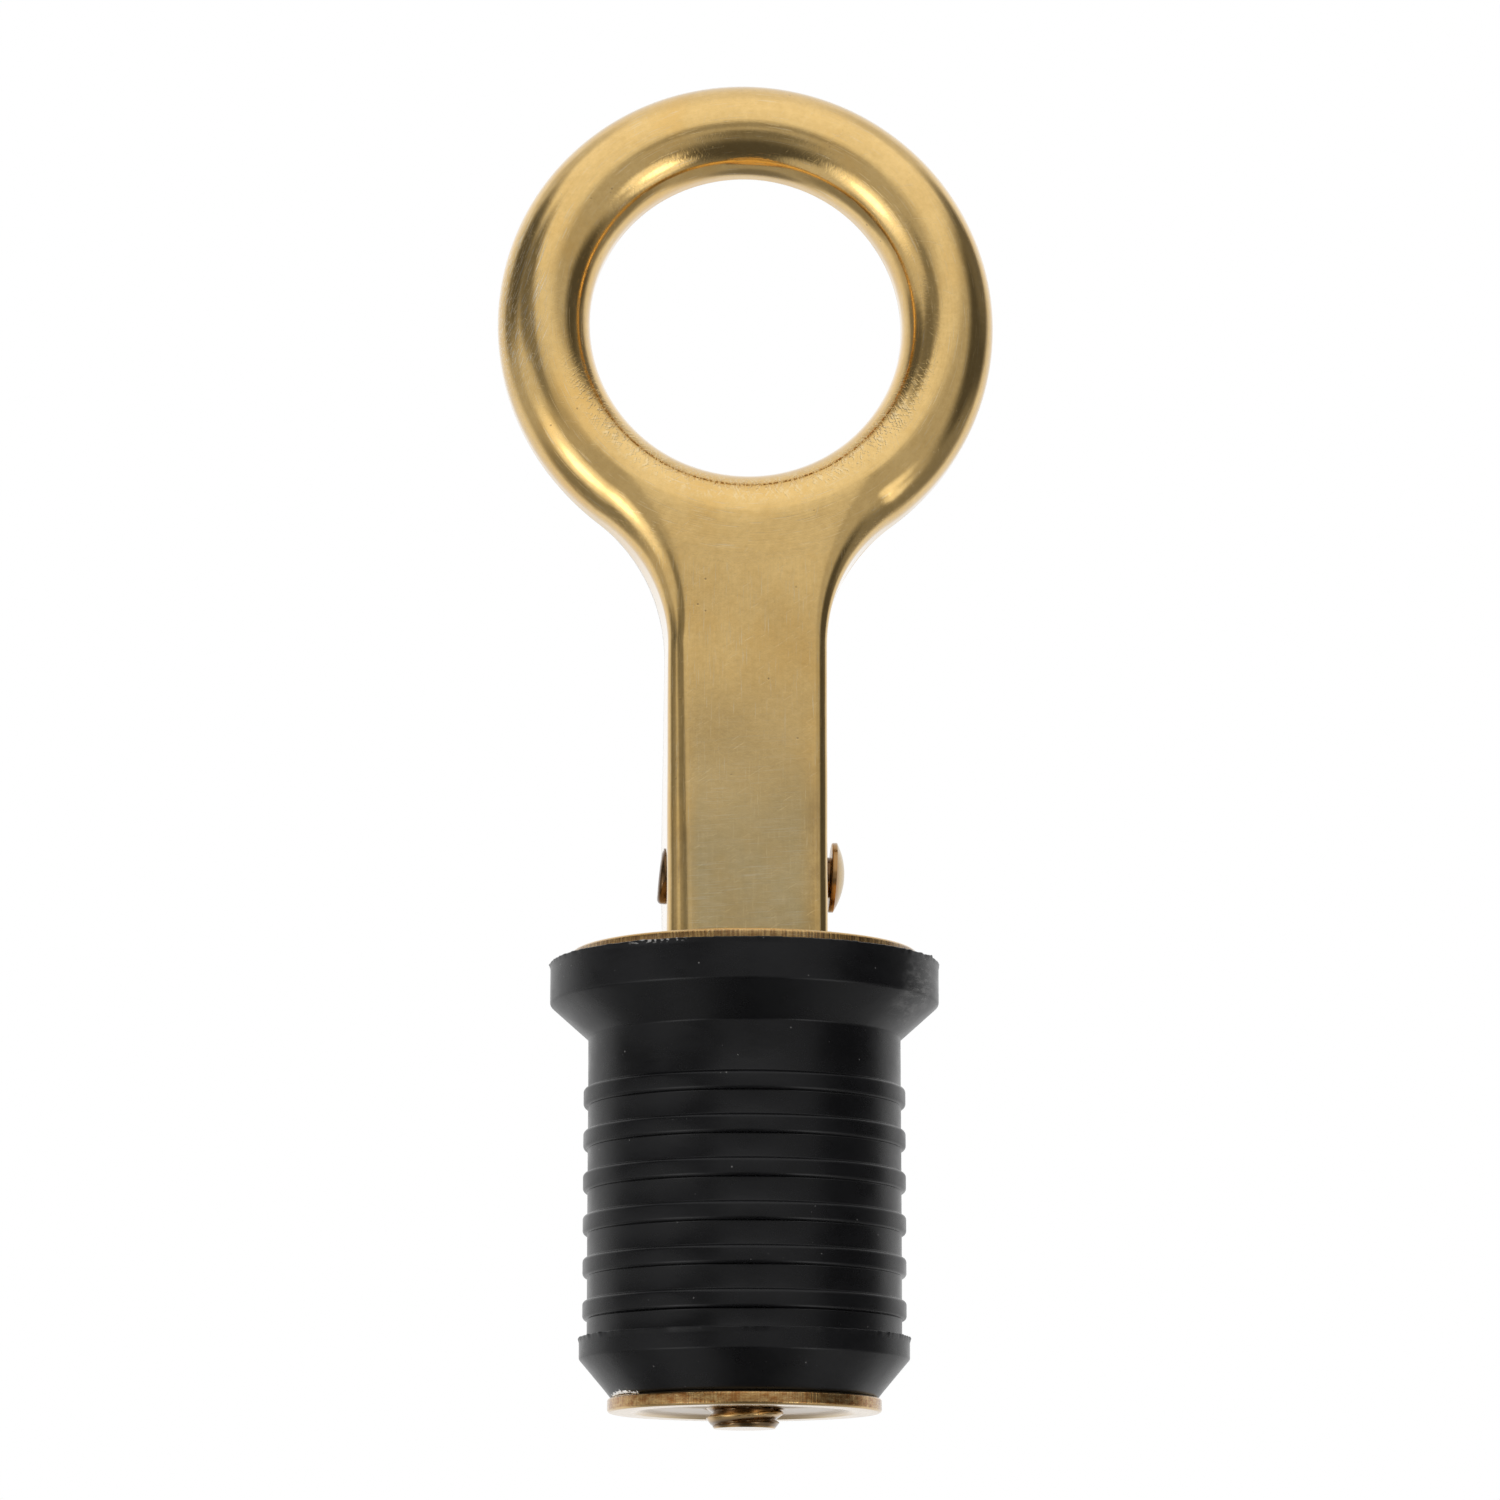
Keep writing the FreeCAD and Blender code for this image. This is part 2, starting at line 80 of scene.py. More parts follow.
PIVOT_Z = JOINTS["lever_pivot"]["pos_m"][2] / MM
TO_PIVOT = Matrix.Translation((0, 0, PIVOT_Z * MM))
FLANGE_TOP = FLANGE_HIGH[2]
WASHER_TOP = WASHER_HIGH[2]
RUBBER_END = FLANGE_LOW[2]
PLATE_BASE = PLATE_LOW[2]

# Rubber stopper
FLANGE_RADIUS = FLANGE_HIGH[0]
FLANGE_CONE = 2.7
BARREL_RADIUS = 12.2
RIB_RADIUS = 12.55
RIB_ROUND = 0.32
RIB_WIDTH = 1.5
RIB_PITCH = 3.3
RIB_START = 3.9
RIB_COUNT = 6
SKIRT_RADIUS = 12.8
SKIRT_CONE = 3.0
SKIRT_RIM = 1.6
END_RADIUS = 10.3
ROD_BORE = 3.1
HUB_RADIUS = 4.5
HUB_GAP = 0.3
RUBBER_STEPS = 380
LIP = 0.15                      # how far the moulding flash stands out of the flange's and skirt's edges
LIP_HEIGHT = 0.3                # how far below and inside the edge it starts
LIP_WIDTH = 0.4
LIP_CLEAR = (0.35, 0.45)        # two stations below it, where the side is plain
TAGS = (                        # longer bits of the flange's flash: angle, half-width, out, up
    (-0.36, 0.016, 0.03, 0.16),
    (-0.50, 0.022, 0.03, 0.08),
    (0.0, 0.035, 0.08, -0.05),
    (math.pi, 0.030, 0.12, 0.0),
)
BITE_ANGLE = -2.72              # where the bottom edge is bitten, with a pale painted highlight on it
BITE_WIDTH = 0.13
BITE_DEPTH = 0.12
UNEVENNESS = 0.025              # how far the outside swells in and out
SCUFF_PLACE = (13, -6, 2.2)
CRUMB_PLACE = (-7.4, -13.3, FLANGE_TOP)
TEAR_HIGHLIGHT_PLACE = (-9.6, -3.9, RUBBER_END)

# Washer and nut plate
WASHER_RADIUS = WASHER_HIGH[0]
PLATE_RADIUS = PLATE_HIGH[0]
PLATE_RIM = 2.0
PLATE_STEP = 0.9
PLATE_DISH = 0.3
THREAD_BORE = 3.05
STAMPED_ROUND = 0.25
STAMPED_STEPS = 240
SHEAR_SIZE = 1000 / 70          # of the shear marks, in thousandths of the rim's radius
MARKS_RADIUS = 10               # radius at which marks round the axis have their full length

# Eye bolt
BOLT_END = BOLT_LOW[2]
ROD_RADIUS = 3.0
ROD_TOP = PIVOT_Z - 1.9         # inside the eye
ROD_STEPS = 112
ROD_TIP = 2.35                  # radius of the end, and the slope of its chamfer
TIP_SLOPE = 0.8
EYE_BORE = 1.65
EYE_RADIUS = BOLT_HIGH[2] - PIVOT_Z
EYE_HALF = BOLT_HIGH[0]
EYE_ROUND = 0.6
THREAD_PITCH = 1.0
THREAD_ROWS = 14                # rows of points in one pitch
THREAD_DEPTH = 0.55
THREAD_TOP = BOLT_END + 9

# Rivet
RIVET_RADIUS = 1.6
HEAD_RADIUS = RIVET_HIGH[1]
HEAD_RIM = 0.4
HEAD_DOME = 0.75
HEAD_EDGE = RIVET_HIGH[0] - HEAD_DOME
TAIL_RADIUS = 2.2
TAIL_ROLL = 0.45
TAIL_BORE = 1.0
TAIL_DEPTH = 3.0
HEAD_ASKEW = 0.055              # slopes of the head and of the tail's end, which were set out of square
TAIL_ASKEW = 0.1

# Handle, heights from the pivot
SHEET = 1.2
EAR = 6.25
WEB_FRONT = -HANDLE_LOW[1]
RING_RADIUS = HANDLE_HIGH[0]
HOLE_RADIUS = 12.45
RING_Z = HANDLE_HIGH[2] - RING_RADIUS - PIVOT_Z
HOLE_Z = PIVOT_Z + RING_Z       # from the tube's mouth
RING_BACK = -1.0
CROWN = 3.6                     # radius of the front edge, on the ring and the shank
CORNER = 1.45
FOOT_CORNER = 2.0               # the press left the two bends unequal: wider towards the left foot
RIGHT_CORNER = 1.1
NECK_RADIUS = 13.0
CAM_LOW = PIVOT_Z - HANDLE_LOW[2]       # reach of the ears below the pivot and behind it
CAM_HIGH = HANDLE_HIGH[1]
LAND_Z = 5.0                    # corners of the back edge, and the radii that round them
TAPER_Y = 2.9
TAPER_Z = 19.0
NECK_Z = 29.0
LAND_ROUND = 7.0
CHEEK_ROUND = 30.0
EAR_HOLE = 1.62
EDGE_BEVEL = 0.14
WAVE_DEPTH = 0.025              # unevenness that hand polishing leaves
WAVE_LENGTH = 7
NECK_STEPS = 30                 # stations on a neck's arc, on half the ring and round the hole
RING_STEPS = 72
HOLE_STEPS = 180


def unit(vector):
    return vector / np.linalg.norm(vector)


def rounded(corners):
    """Closed outline through corners (across, along, radius), each corner an arc of its radius."""
    points = []
    for number, (across, along, radius) in enumerate(corners):
        corner = np.array((across, along), float)
        if radius == 0:
            points.append(corner)
            continue
        back = unit(np.array(corners[number - 1][:2]) - corner)
        ahead = unit(np.array(corners[(number + 1) % len(corners)][:2]) - corner)
        half = math.acos(np.clip(back @ ahead, -1, 1)) / 2
        centre = corner + unit(back + ahead) * radius / math.sin(half)
        start = corner + back * radius / math.tan(half) - centre
        end = corner + ahead * radius / math.tan(half) - centre
        turn = math.pi - 2 * half
        steps = max(2, math.ceil(turn / ARC_STEP * min(1, math.sqrt(radius / FULL_ARC))))
        for step in range(steps + 1):
            part = step / steps
            swing = math.sin((1 - part) * turn) * start + math.sin(part * turn) * end
            points.append(centre + swing / math.sin(turn))
    return np.array(points)


def make_object(name, points, faces):
    """A mesh object from points in millimetres, its faces turned outwards."""
    mesh = bpy.data.meshes.new(name)
    mesh.from_pydata([tuple(point) for point in np.asarray(points) * MM], [], faces)
    shape = bmesh.new()
    shape.from_mesh(mesh)
    bmesh.ops.recalc_face_normals(shape, faces=shape.faces)
    shape.to_mesh(mesh)
    shape.free()
    made = bpy.data.objects.new(name, mesh)
    bpy.context.scene.collection.objects.link(made)
    return made


def apply_modifiers(made):
    """Make what the modifiers give the object's own mesh."""
    graph = bpy.context.evaluated_depsgraph_get()
    mesh = bpy.data.meshes.new_from_object(made.evaluated_get(graph))
    made.modifiers.clear()
    made.data = mesh


def shade(made, angle=38):
    """Smooth shading, with edges over this many degrees kept sharp."""
    made.data.shade_smooth()
    made.data.set_sharp_from_angle(angle=math.radians(angle))
    return made


def cut(made, tool, operation="DIFFERENCE"):
    """Apply one boolean with a tool object, which is then removed."""
    boolean = made.modifiers.new("cut", "BOOLEAN")
    boolean.object = tool
    boolean.operation = operation
    boolean.solver = "EXACT"
    apply_modifiers(made)
    bpy.data.objects.remove(tool)
    return made


def grid_faces(rows, columns, first=0, close_rows=False, close_columns=False):
    """Quads of a grid whose points are numbered row by row from first."""
    faces = []
    for row in range(rows if close_rows else rows - 1):
        after = (row + 1) % rows
        for column in range(columns if close_columns else columns - 1):
            beside = (column + 1) % columns
            faces.append((
                first + row * columns + column,
                first + row * columns + beside,
                first + after * columns + beside,
                first + after * columns + column,
            ))
    return faces


def lathe(name, profile, steps, along_x=False, change=None):
    """Turn a closed profile of (radius, height) about Z, or about X.

    change, where given, moves the points: it gets their radius, height and angle as arrays.
    """
    profile = np.asarray(profile, float)
    angles = np.linspace(0, 2 * math.pi, steps, endpoint=False)
    radius, angle = np.meshgrid(profile[:, 0], angles, indexing="ij")
    height = np.meshgrid(profile[:, 1], angles, indexing="ij")[0]
    if change is not None:
        radius, height = change(radius, height, angle)
    points = np.stack([radius * np.cos(angle), radius * np.sin(angle), height], axis=-1).reshape(-1, 3)
    if along_x:
        points = points[:, [2, 0, 1]]
    return make_object(name, points, grid_faces(len(profile), steps, close_rows=True, close_columns=True))


def weld_axis(made):
    """Merge points that lie on one spot, such as those of a profile's end on the axis."""
    shape = bmesh.new()
    shape.from_mesh(made.data)
    bmesh.ops.remove_doubles(shape, verts=shape.verts, dist=WELD * MM)
    bmesh.ops.dissolve_degenerate(shape, edges=shape.edges, dist=WELD / 2 * MM)
    bmesh.ops.recalc_face_normals(shape, faces=shape.faces)
    shape.to_mesh(made.data)
    shape.free()


def ripple(angle, frequency, seed):
    """Smooth noise round a circle, from about -1 to 1, for an array of angles."""
    values = [
        noise.noise(Vector((math.cos(turn) * frequency, math.sin(turn) * frequency, seed)))
        for turn in angle.ravel()
    ]
    return np.array(values).reshape(angle.shape)


def turn_from(angle, middle):
    """Angles measured from a middle one, from -pi to pi."""
    return (angle - middle + math.pi) % (2 * math.pi) - math.pi


def dress(made, body, slot, material, *nodes):
    """Let a finished piece ride, stand for its CAD nodes and carry its material."""
    made.data.materials.clear()
    made.data.materials.append(material)
    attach(made, body)
    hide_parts(*nodes)
    return made


def make_rubber():
    """Stopper with flash on its two parting edges, six sealing ribs and a skirt."""
    corners = [
        (ROD_BORE, FLANGE_TOP, 0.2),
        (FLANGE_RADIUS - 1.2, FLANGE_TOP, 0),
        (FLANGE_RADIUS, FLANGE_TOP, 0.12),
        *((FLANGE_RADIUS, FLANGE_TOP - drop, 0) for drop in LIP_CLEAR),
        (FLANGE_RADIUS, FLANGE_CONE, 0.35),
        (BARREL_RADIUS, 0, 0.25),
    ]
    for rib in range(RIB_COUNT):
        top = -RIB_START - rib * RIB_PITCH
        corners += [
            (BARREL_RADIUS, top, 0.08),
            (RIB_RADIUS, top - 0.1, RIB_ROUND),
            (RIB_RADIUS, top - RIB_WIDTH, RIB_ROUND),
            (BARREL_RADIUS, top - RIB_WIDTH, 0.08),
        ]
    skirt_base = RUBBER_END + SKIRT_CONE
    skirt_top = skirt_base + SKIRT_RIM
    recess = HUB_RADIUS + HUB_GAP
    recess_top = PLATE_HIGH[2] + HUB_GAP
    corners += [
        (BARREL_RADIUS, skirt_top + 0.05, 0.04),
        (SKIRT_RADIUS, skirt_top, 0.1),
        *((SKIRT_RADIUS, skirt_top - drop, 0) for drop in LIP_CLEAR),
        (SKIRT_RADIUS, skirt_base, 0.3),
        (END_RADIUS + 0.48, RUBBER_END + 0.6, 0),   # these two stations end the torn bit
        (END_RADIUS + 0.4, RUBBER_END + 0.5, 0),
        (END_RADIUS, RUBBER_END, 0.2),
        (END_RADIUS - 1.1, RUBBER_END, 0),
        (recess, RUBBER_END, 0.2),
        (recess, recess_top, 0.2),
        (ROD_BORE, recess_top, 0),
    ]

    def flash(radius, height, angle):
        """Ragged lips on the flange's and the skirt's upper edge, a bitten bottom edge, an uneven side."""
        for edge_height, edge_radius, seed in (
            (FLANGE_TOP, FLANGE_RADIUS, 3.1),
            (skirt_top, SKIRT_RADIUS, 8.4),
        ):
            near = np.clip(1 - np.abs(height - edge_height) / LIP_HEIGHT, 0, 1)
            near = near * np.clip(1 - np.abs(radius - edge_radius) / LIP_WIDTH, 0, 1)
            ragged = 0.5 + 0.45 * ripple(angle, 9, seed) + 0.5 * ripple(angle, 30, seed + 1)
            ragged = np.maximum(ragged + 0.4 * ripple(angle, 60, seed + 2), 0.05)
            radius = radius + LIP * near * ragged
            height = height + 0.5 * LIP * near * ragged
            if edge_height == FLANGE_TOP:
                for middle, width, out, up in TAGS:
                    tag = near * np.exp(-(turn_from(angle, middle) / width) ** 2)
                    radius = radius + out * tag
                    height = height + up * tag
        bottom = np.clip(1 - (height - RUBBER_END) / 0.5, 0, 1) * (radius > END_RADIUS - 1.0)
        bite = np.clip(1.3 * np.exp(-(turn_from(angle, BITE_ANGLE) / BITE_WIDTH) ** 2), 0, 1)
        height = height + BITE_DEPTH * bottom * bite * (0.8 + 0.6 * ripple(angle, 40, 2.0))
        outside = radius > END_RADIUS - 0.5
        radius = radius + outside * UNEVENNESS * ripple(angle + height * 0.05, 2.2, 5.0)
        return radius, height

    return shade(lathe("rubber_stopper", rounded(corners), RUBBER_STEPS, change=flash), 50)


def make_washer():
    """Stamped washer with rounded edges."""
    corners = [
        (ROD_BORE, FLANGE_TOP, 0.1),
        (WASHER_RADIUS, FLANGE_TOP, 0.12),
        (WASHER_RADIUS, WASHER_TOP, STAMPED_ROUND),
        (ROD_BORE, WASHER_TOP, 0.1),
    ]
    return shade(lathe("cam_washer", rounded(corners), STAMPED_STEPS))


def make_plate():
    """Nut plate: dished disc with a hub that stands up into the rubber."""
    corners = [
        (THREAD_BORE, PLATE_HIGH[2], 0.15),
        (HUB_RADIUS, PLATE_HIGH[2], 0.3),
        (HUB_RADIUS, RUBBER_END, 0.2),
        (PLATE_RADIUS, RUBBER_END, STAMPED_ROUND),
        (PLATE_RADIUS, PLATE_BASE, STAMPED_ROUND),
        (PLATE_RADIUS - PLATE_RIM, PLATE_BASE, 0.5),
        (PLATE_RADIUS - PLATE_RIM - PLATE_STEP, PLATE_BASE + PLATE_DISH, 0.8),
        (THREAD_BORE, PLATE_BASE + PLATE_DISH, 0.15),
    ]
    return shade(lathe("threaded_plate", rounded(corners), STAMPED_STEPS))


def make_bolt():
    """Eye bolt: rod with a true helical thread at its lower end, and a flat-sided eye."""
    threaded = np.arange(BOLT_END, THREAD_TOP, THREAD_PITCH / THREAD_ROWS)
    heights = np.concatenate([threaded, np.linspace(THREAD_TOP, ROD_TOP, 12)])
    angles = np.linspace(0, 2 * math.pi, ROD_STEPS, endpoint=False)
    height, angle = np.meshgrid(heights, angles, indexing="ij")
    phase = (height / THREAD_PITCH - angle / (2 * math.pi)) % 1
    ridge = np.clip(1.35 * np.abs(2 * phase - 1) - 0.1, 0, 1)  # flat at the crest and the root
    fade = np.clip((THREAD_TOP - height) / THREAD_PITCH, 0, 1)
    radius = ROD_RADIUS - THREAD_DEPTH * (1 - ridge) * fade
    radius = np.minimum(radius, ROD_TIP + TIP_SLOPE * (height - BOLT_END))
    points = np.stack([radius * np.cos(angle), radius * np.sin(angle), height], axis=-1).reshape(-1, 3)
    faces = grid_faces(len(heights), ROD_STEPS, close_columns=True)
    last = (len(heights) - 1) * ROD_STEPS
    faces += [tuple(range(ROD_STEPS)), tuple(range(last, last + ROD_STEPS))]
    rod = make_object("eye_bolt_turned", points, faces)

    eye = lathe("eye", rounded([
        (EYE_BORE, -EYE_HALF, 0.25),
        (EYE_RADIUS, -EYE_HALF, EYE_ROUND),
        (EYE_RADIUS, EYE_HALF, EYE_ROUND),
        (EYE_BORE, EYE_HALF, 0.25),
    ]), steps=96, along_x=True)
    eye.data.transform(TO_PIVOT)
    return shade(cut(rod, eye, "UNION"), 45)


def make_rivet():
    """Semi-tubular rivet along X: domed head at +X, rolled hollow tail at -X."""
    sphere = (HEAD_RADIUS ** 2 + HEAD_DOME ** 2) / (2 * HEAD_DOME)
    across = HEAD_RADIUS * np.linspace(0, 1, 14)[:-1]
    dome = np.stack([across, RIVET_HIGH[0] - sphere + np.sqrt(sphere ** 2 - across ** 2)], axis=1)
    rim = rounded([
        (HEAD_RADIUS, HEAD_EDGE + 0.01, 0),
        (HEAD_RADIUS, HEAD_EDGE - HEAD_RIM, 0.12),
        (RIVET_RADIUS, HEAD_EDGE - HEAD_RIM, 0.1),
        (RIVET_RADIUS, -EAR, 0.05),
        (TAIL_RADIUS, -EAR, 0.1),
        (TAIL_RADIUS, -EAR - TAIL_ROLL, 0.45),
        (TAIL_BORE + 0.15, -EAR - TAIL_ROLL, 0.3),
        (TAIL_BORE, -EAR - TAIL_ROLL + TAIL_DEPTH, 0.3),
        (0, -EAR - TAIL_ROLL + TAIL_DEPTH + 0.4, 0),
    ])
    rivet = lathe("rivet_set", np.concatenate([dome, rim]), steps=72, along_x=True)
    weld_axis(rivet)
    for vertex in rivet.data.vertices:
        if vertex.co.x > (EAR - 0.01) * MM:
            vertex.co.x += HEAD_ASKEW * vertex.co.z
        elif vertex.co.x < -(EAR + 0.1) * MM:
            vertex.co.x += TAIL_ASKEW * vertex.co.z
    rivet.data.transform(TO_PIVOT)
    return shade(rivet)


def cam_points(count=26):
    """The ear's cam as depths and heights from the pivot: the washer's height grows evenly as it turns."""
    growth = (CAM_HIGH - CAM_LOW) / (math.pi / 2)
    angle = np.linspace(0, math.pi / 2, count)
    reach = CAM_LOW + growth * angle
    deep = reach * np.sin(angle) + growth * np.cos(angle)
    up = growth * np.sin(angle) - reach * np.cos(angle)
    return deep, up


def back_edge(height):
    """Depth of the handle's back edge at heights from the pivot."""
    deep, up = cam_points(90)
    far = RING_Z + RING_RADIUS + 5
    upper = rounded([
        (CAM_HIGH, up[-1], 0),
        (CAM_HIGH, LAND_Z, LAND_ROUND),
        (TAPER_Y, TAPER_Z, CHEEK_ROUND),
        (RING_BACK, NECK_Z, CHEEK_ROUND),
        (RING_BACK, far, 0),
    ])
    depths = np.concatenate([deep, upper[1:, 0]])
    heights = np.concatenate([up, upper[1:, 1]])
    return np.interp(height, heights, depths)


def handle_outline():
    """Stations along the handle's outline, from one foot over the ring to the other.

    Gives the places (across, up), the directions out of the metal and the front edge's radius.
    """
    across = EAR + NECK_RADIUS
    reach = RING_RADIUS + NECK_RADIUS
    drop = math.sqrt(reach ** 2 - across ** 2)
    neck_height = RING_Z - drop

    cam_up = cam_points()[1]
    shank_up = np.concatenate([cam_up, np.linspace(cam_up[-1], neck_height, 20)[1:-1]])
    shank = np.stack([np.full_like(shank_up, -EAR), shank_up], axis=1)
    shank_out = np.tile((-1.0, 0.0), (len(shank), 1))

    turn = np.linspace(0, math.atan2(drop, across), NECK_STEPS)
    towards = np.stack([np.cos(turn), np.sin(turn)], axis=1)
    neck = np.array((-across, neck_height)) + NECK_RADIUS * towards

    touch = 2 * math.pi + math.atan2(-drop, -across)
    around = np.linspace(touch, math.pi / 2, RING_STEPS)[1:]
    ring_out = np.stack([np.cos(around), np.sin(around)], axis=1)
    ring = np.array((0, RING_Z)) + RING_RADIUS * ring_out

    places = np.concatenate([shank, neck, ring])
    outs = np.concatenate([shank_out, -towards, ring_out])
    blend = turn / turn[-1]
    low = (neck_height - shank_up) / (neck_height - shank_up[0])
    crown = np.full(len(ring), CROWN)
    left = np.concatenate([CORNER + (FOOT_CORNER - CORNER) * low, CORNER + (CROWN - CORNER) * blend, crown])
    late = RIGHT_CORNER + (CROWN - RIGHT_CORNER) * blend ** 2
    right = np.concatenate([np.full(len(shank), RIGHT_CORNER), late, crown])
    mirror = np.array((-1.0, 1.0))
    places = np.concatenate([places, places[-2::-1] * mirror])
    outs = np.concatenate([outs, outs[-2::-1] * mirror])
    radii = np.concatenate([left, right[-2::-1]])
    return places, outs, radii


def skin(places, outs, radii, inset):
    """Rows of points from the back edge round to the front, one row a station."""
    walls = 6
    turns = 16
    rows = []
    for place, out, radius in zip(places, outs, radii):
        place = place - out * inset
        radius = max(radius - inset, 0.1)
        front = -WEB_FRONT + inset
        back = back_edge(place[1])
        row = []
        for part in np.linspace(0, 1, walls, endpoint=False):
            row.append((place[0], back + (front + radius - back) * part, place[1]))
        for angle in np.linspace(0, math.pi / 2, turns + 1):
            inward = radius * (1 - math.cos(angle))
            row.append((
                place[0] - out[0] * inward,
                front + radius - radius * math.sin(angle),
                place[1] - out[1] * inward,
            ))
        rows.append(row)
    return np.array(rows)


def inside(points, loop):
    """Which points lie inside a closed loop, by counting crossings."""
    crossings = np.zeros(len(points), int)
    for start, end in zip(loop, np.roll(loop, -1, axis=0)):
        above = (start[1] > points[:, 1]) != (end[1] > points[:, 1])
        rise = end[1] - start[1] if end[1] != start[1] else 1e-12
        at = start[0] + (points[:, 1] - start[1]) / rise * (end[0] - start[0])
        crossings += above & (points[:, 0] < at)
    return crossings % 2 == 1


def fill_flat(loop, hole, spacing=0.8):
    """Triangles between an outer loop and a hole, with evenly spaced points inside them.

    Gives the added points and the triangles, numbered as loop, hole, added points.
    """
    low, high = loop.min(axis=0), loop.max(axis=0)
    across = np.arange(low[0] + spacing / 2, high[0], spacing)
    along = np.arange(low[1] + spacing / 2, high[1], spacing)
    grid = np.stack(np.meshgrid(across, along), axis=-1).reshape(-1, 2)
    edge = np.concatenate([loop, hole])
    clear = np.array([np.min(np.sum((edge - point) ** 2, axis=1)) > (0.6 * spacing) ** 2 for point in grid])
    grid = grid[clear]
    grid = grid[inside(grid, loop) & ~inside(grid, hole)]
    points = np.concatenate([edge, grid])
    rim = [(number, (number + 1) % len(loop)) for number in range(len(loop))]
    inner = [(len(loop) + number, len(loop) + (number + 1) % len(hole)) for number in range(len(hole))]
    result = delaunay_2d_cdt([Vector(point) for point in points], rim + inner, [], 0, 1e-6)
    source = [origins[0] for origins in result[3]]
    triangles = np.array([[source[corner] for corner in face] for face in result[2]])
    middle = points[triangles].mean(axis=1)
    kept = inside(middle, loop) & ~inside(middle, hole)
    return grid, triangles[kept]


def make_handle():
    """Handle pressed from one sheet: hollow half-round ring, channel shank and two cam ears."""
    places, outs, radii = handle_outline()
    turn = np.linspace(0, 2 * math.pi, HOLE_STEPS, endpoint=False)
    hole_out = -np.stack([np.cos(turn), np.sin(turn)], axis=1)
    hole_places = np.array((0, RING_Z)) - HOLE_RADIUS * hole_out
    hole_radii = np.full(len(turn), CROWN)

    points = []
    faces = []
    starts = {}
    for label, inset in (("outer", 0), ("inner", SHEET)):
        for part, rows, closed in (
            ("rim", skin(places, outs, radii, inset), False),
            ("hole", skin(hole_places, hole_out, hole_radii, inset), True),
        ):
            starts[label, part] = len(points)
            columns = rows.shape[1]
            points += rows.reshape(-1, 3).tolist()
            faces += grid_faces(len(rows), columns, starts[label, part], close_rows=closed)
    last = columns - 1

    # The front offset points bound the flat, which is the same for both skins
    flat = places - outs * radii[:, None]
    foot = np.linspace(flat[-1], flat[0], 14)[1:-1]
    loop = np.concatenate([flat, foot])
    hole_loop = hole_places - hole_out * hole_radii[:, None]
    grid, triangles = fill_flat(loop, hole_loop)
    feet = {}
    for label, front in (("outer", -WEB_FRONT), ("inner", -WEB_FRONT + SHEET)):
        feet[label] = len(points)
        points += [(across, front, up) for across, up in foot]
        grid_start = len(points)
        points += [(across, front, up) for across, up in grid]
        numbers = [starts[label, "rim"] + row * columns + last for row in range(len(places))]
        numbers += range(feet[label], feet[label] + len(foot))
        numbers += [starts[label, "hole"] + row * columns + last for row in range(len(turn))]
        numbers += range(grid_start, grid_start + len(grid))
        faces += [tuple(numbers[corner] for corner in triangle) for triangle in triangles]

    # Strips along the sheet's edge: back of the outline, back of the hole and the feet
    for part, count, closed in (("rim", len(places), False), ("hole", len(turn), True)):
        outer, inner = starts["outer", part], starts["inner", part]
        for row in range(count if closed else count - 1):
            here, after = row * columns, (row + 1) % count * columns
            faces.append((outer + here, outer + after, inner + after, inner + here))
    for row in (0, len(places) - 1):
        outer, inner = starts["outer", "rim"] + row * columns, starts["inner", "rim"] + row * columns
        faces += [(outer + step, outer + step + 1, inner + step + 1, inner + step) for step in range(last)]
    outer, inner = (
        [
            starts[label, "rim"] + (len(places) - 1) * columns + last,
            *range(feet[label], feet[label] + len(foot)),
            starts[label, "rim"] + last,
        ]
        for label in ("outer", "inner")
    )
    faces += [(outer[step], outer[step + 1], inner[step + 1], inner[step]) for step in range(len(foot) + 1)]

    handle = make_object("handle_stamping", np.array(points) + (0, 0, PIVOT_Z), faces)
    bevel = handle.modifiers.new("edges", "BEVEL")
    bevel.width = EDGE_BEVEL * MM
    bevel.segments = 2
    bevel.limit_method = "ANGLE"
    bevel.angle_limit = math.radians(50)
    apply_modifiers(handle)
    section = [(0.001, -2 * EAR), (EAR_HOLE, -2 * EAR), (EAR_HOLE, 2 * EAR), (0.001, 2 * EAR)]
    drill = lathe("drill", section, steps=64, along_x=True)
    weld_axis(drill)
    drill.data.transform(TO_PIVOT)
    cut(handle, drill)
    shade(handle)
    make_wavy(handle)
    return handle


def make_wavy(made):
    """Push the surface in and out by smooth noise, as hand polishing leaves it."""
    mesh = made.data
    places = np.empty(len(mesh.vertices) * 3)
    mesh.vertices.foreach_get("co", places)
    places = places.reshape(-1, 3)
    normals = np.array([tuple(vertex.normal) for vertex in mesh.vertices])
    depths = [WAVE_DEPTH * MM * noise.noise(Vector(place) / (WAVE_LENGTH * MM)) for place in places]
    places = places + normals * np.array(depths)[:, None]
    mesh.vertices.foreach_set("co", places.ravel())
    mesh.update()


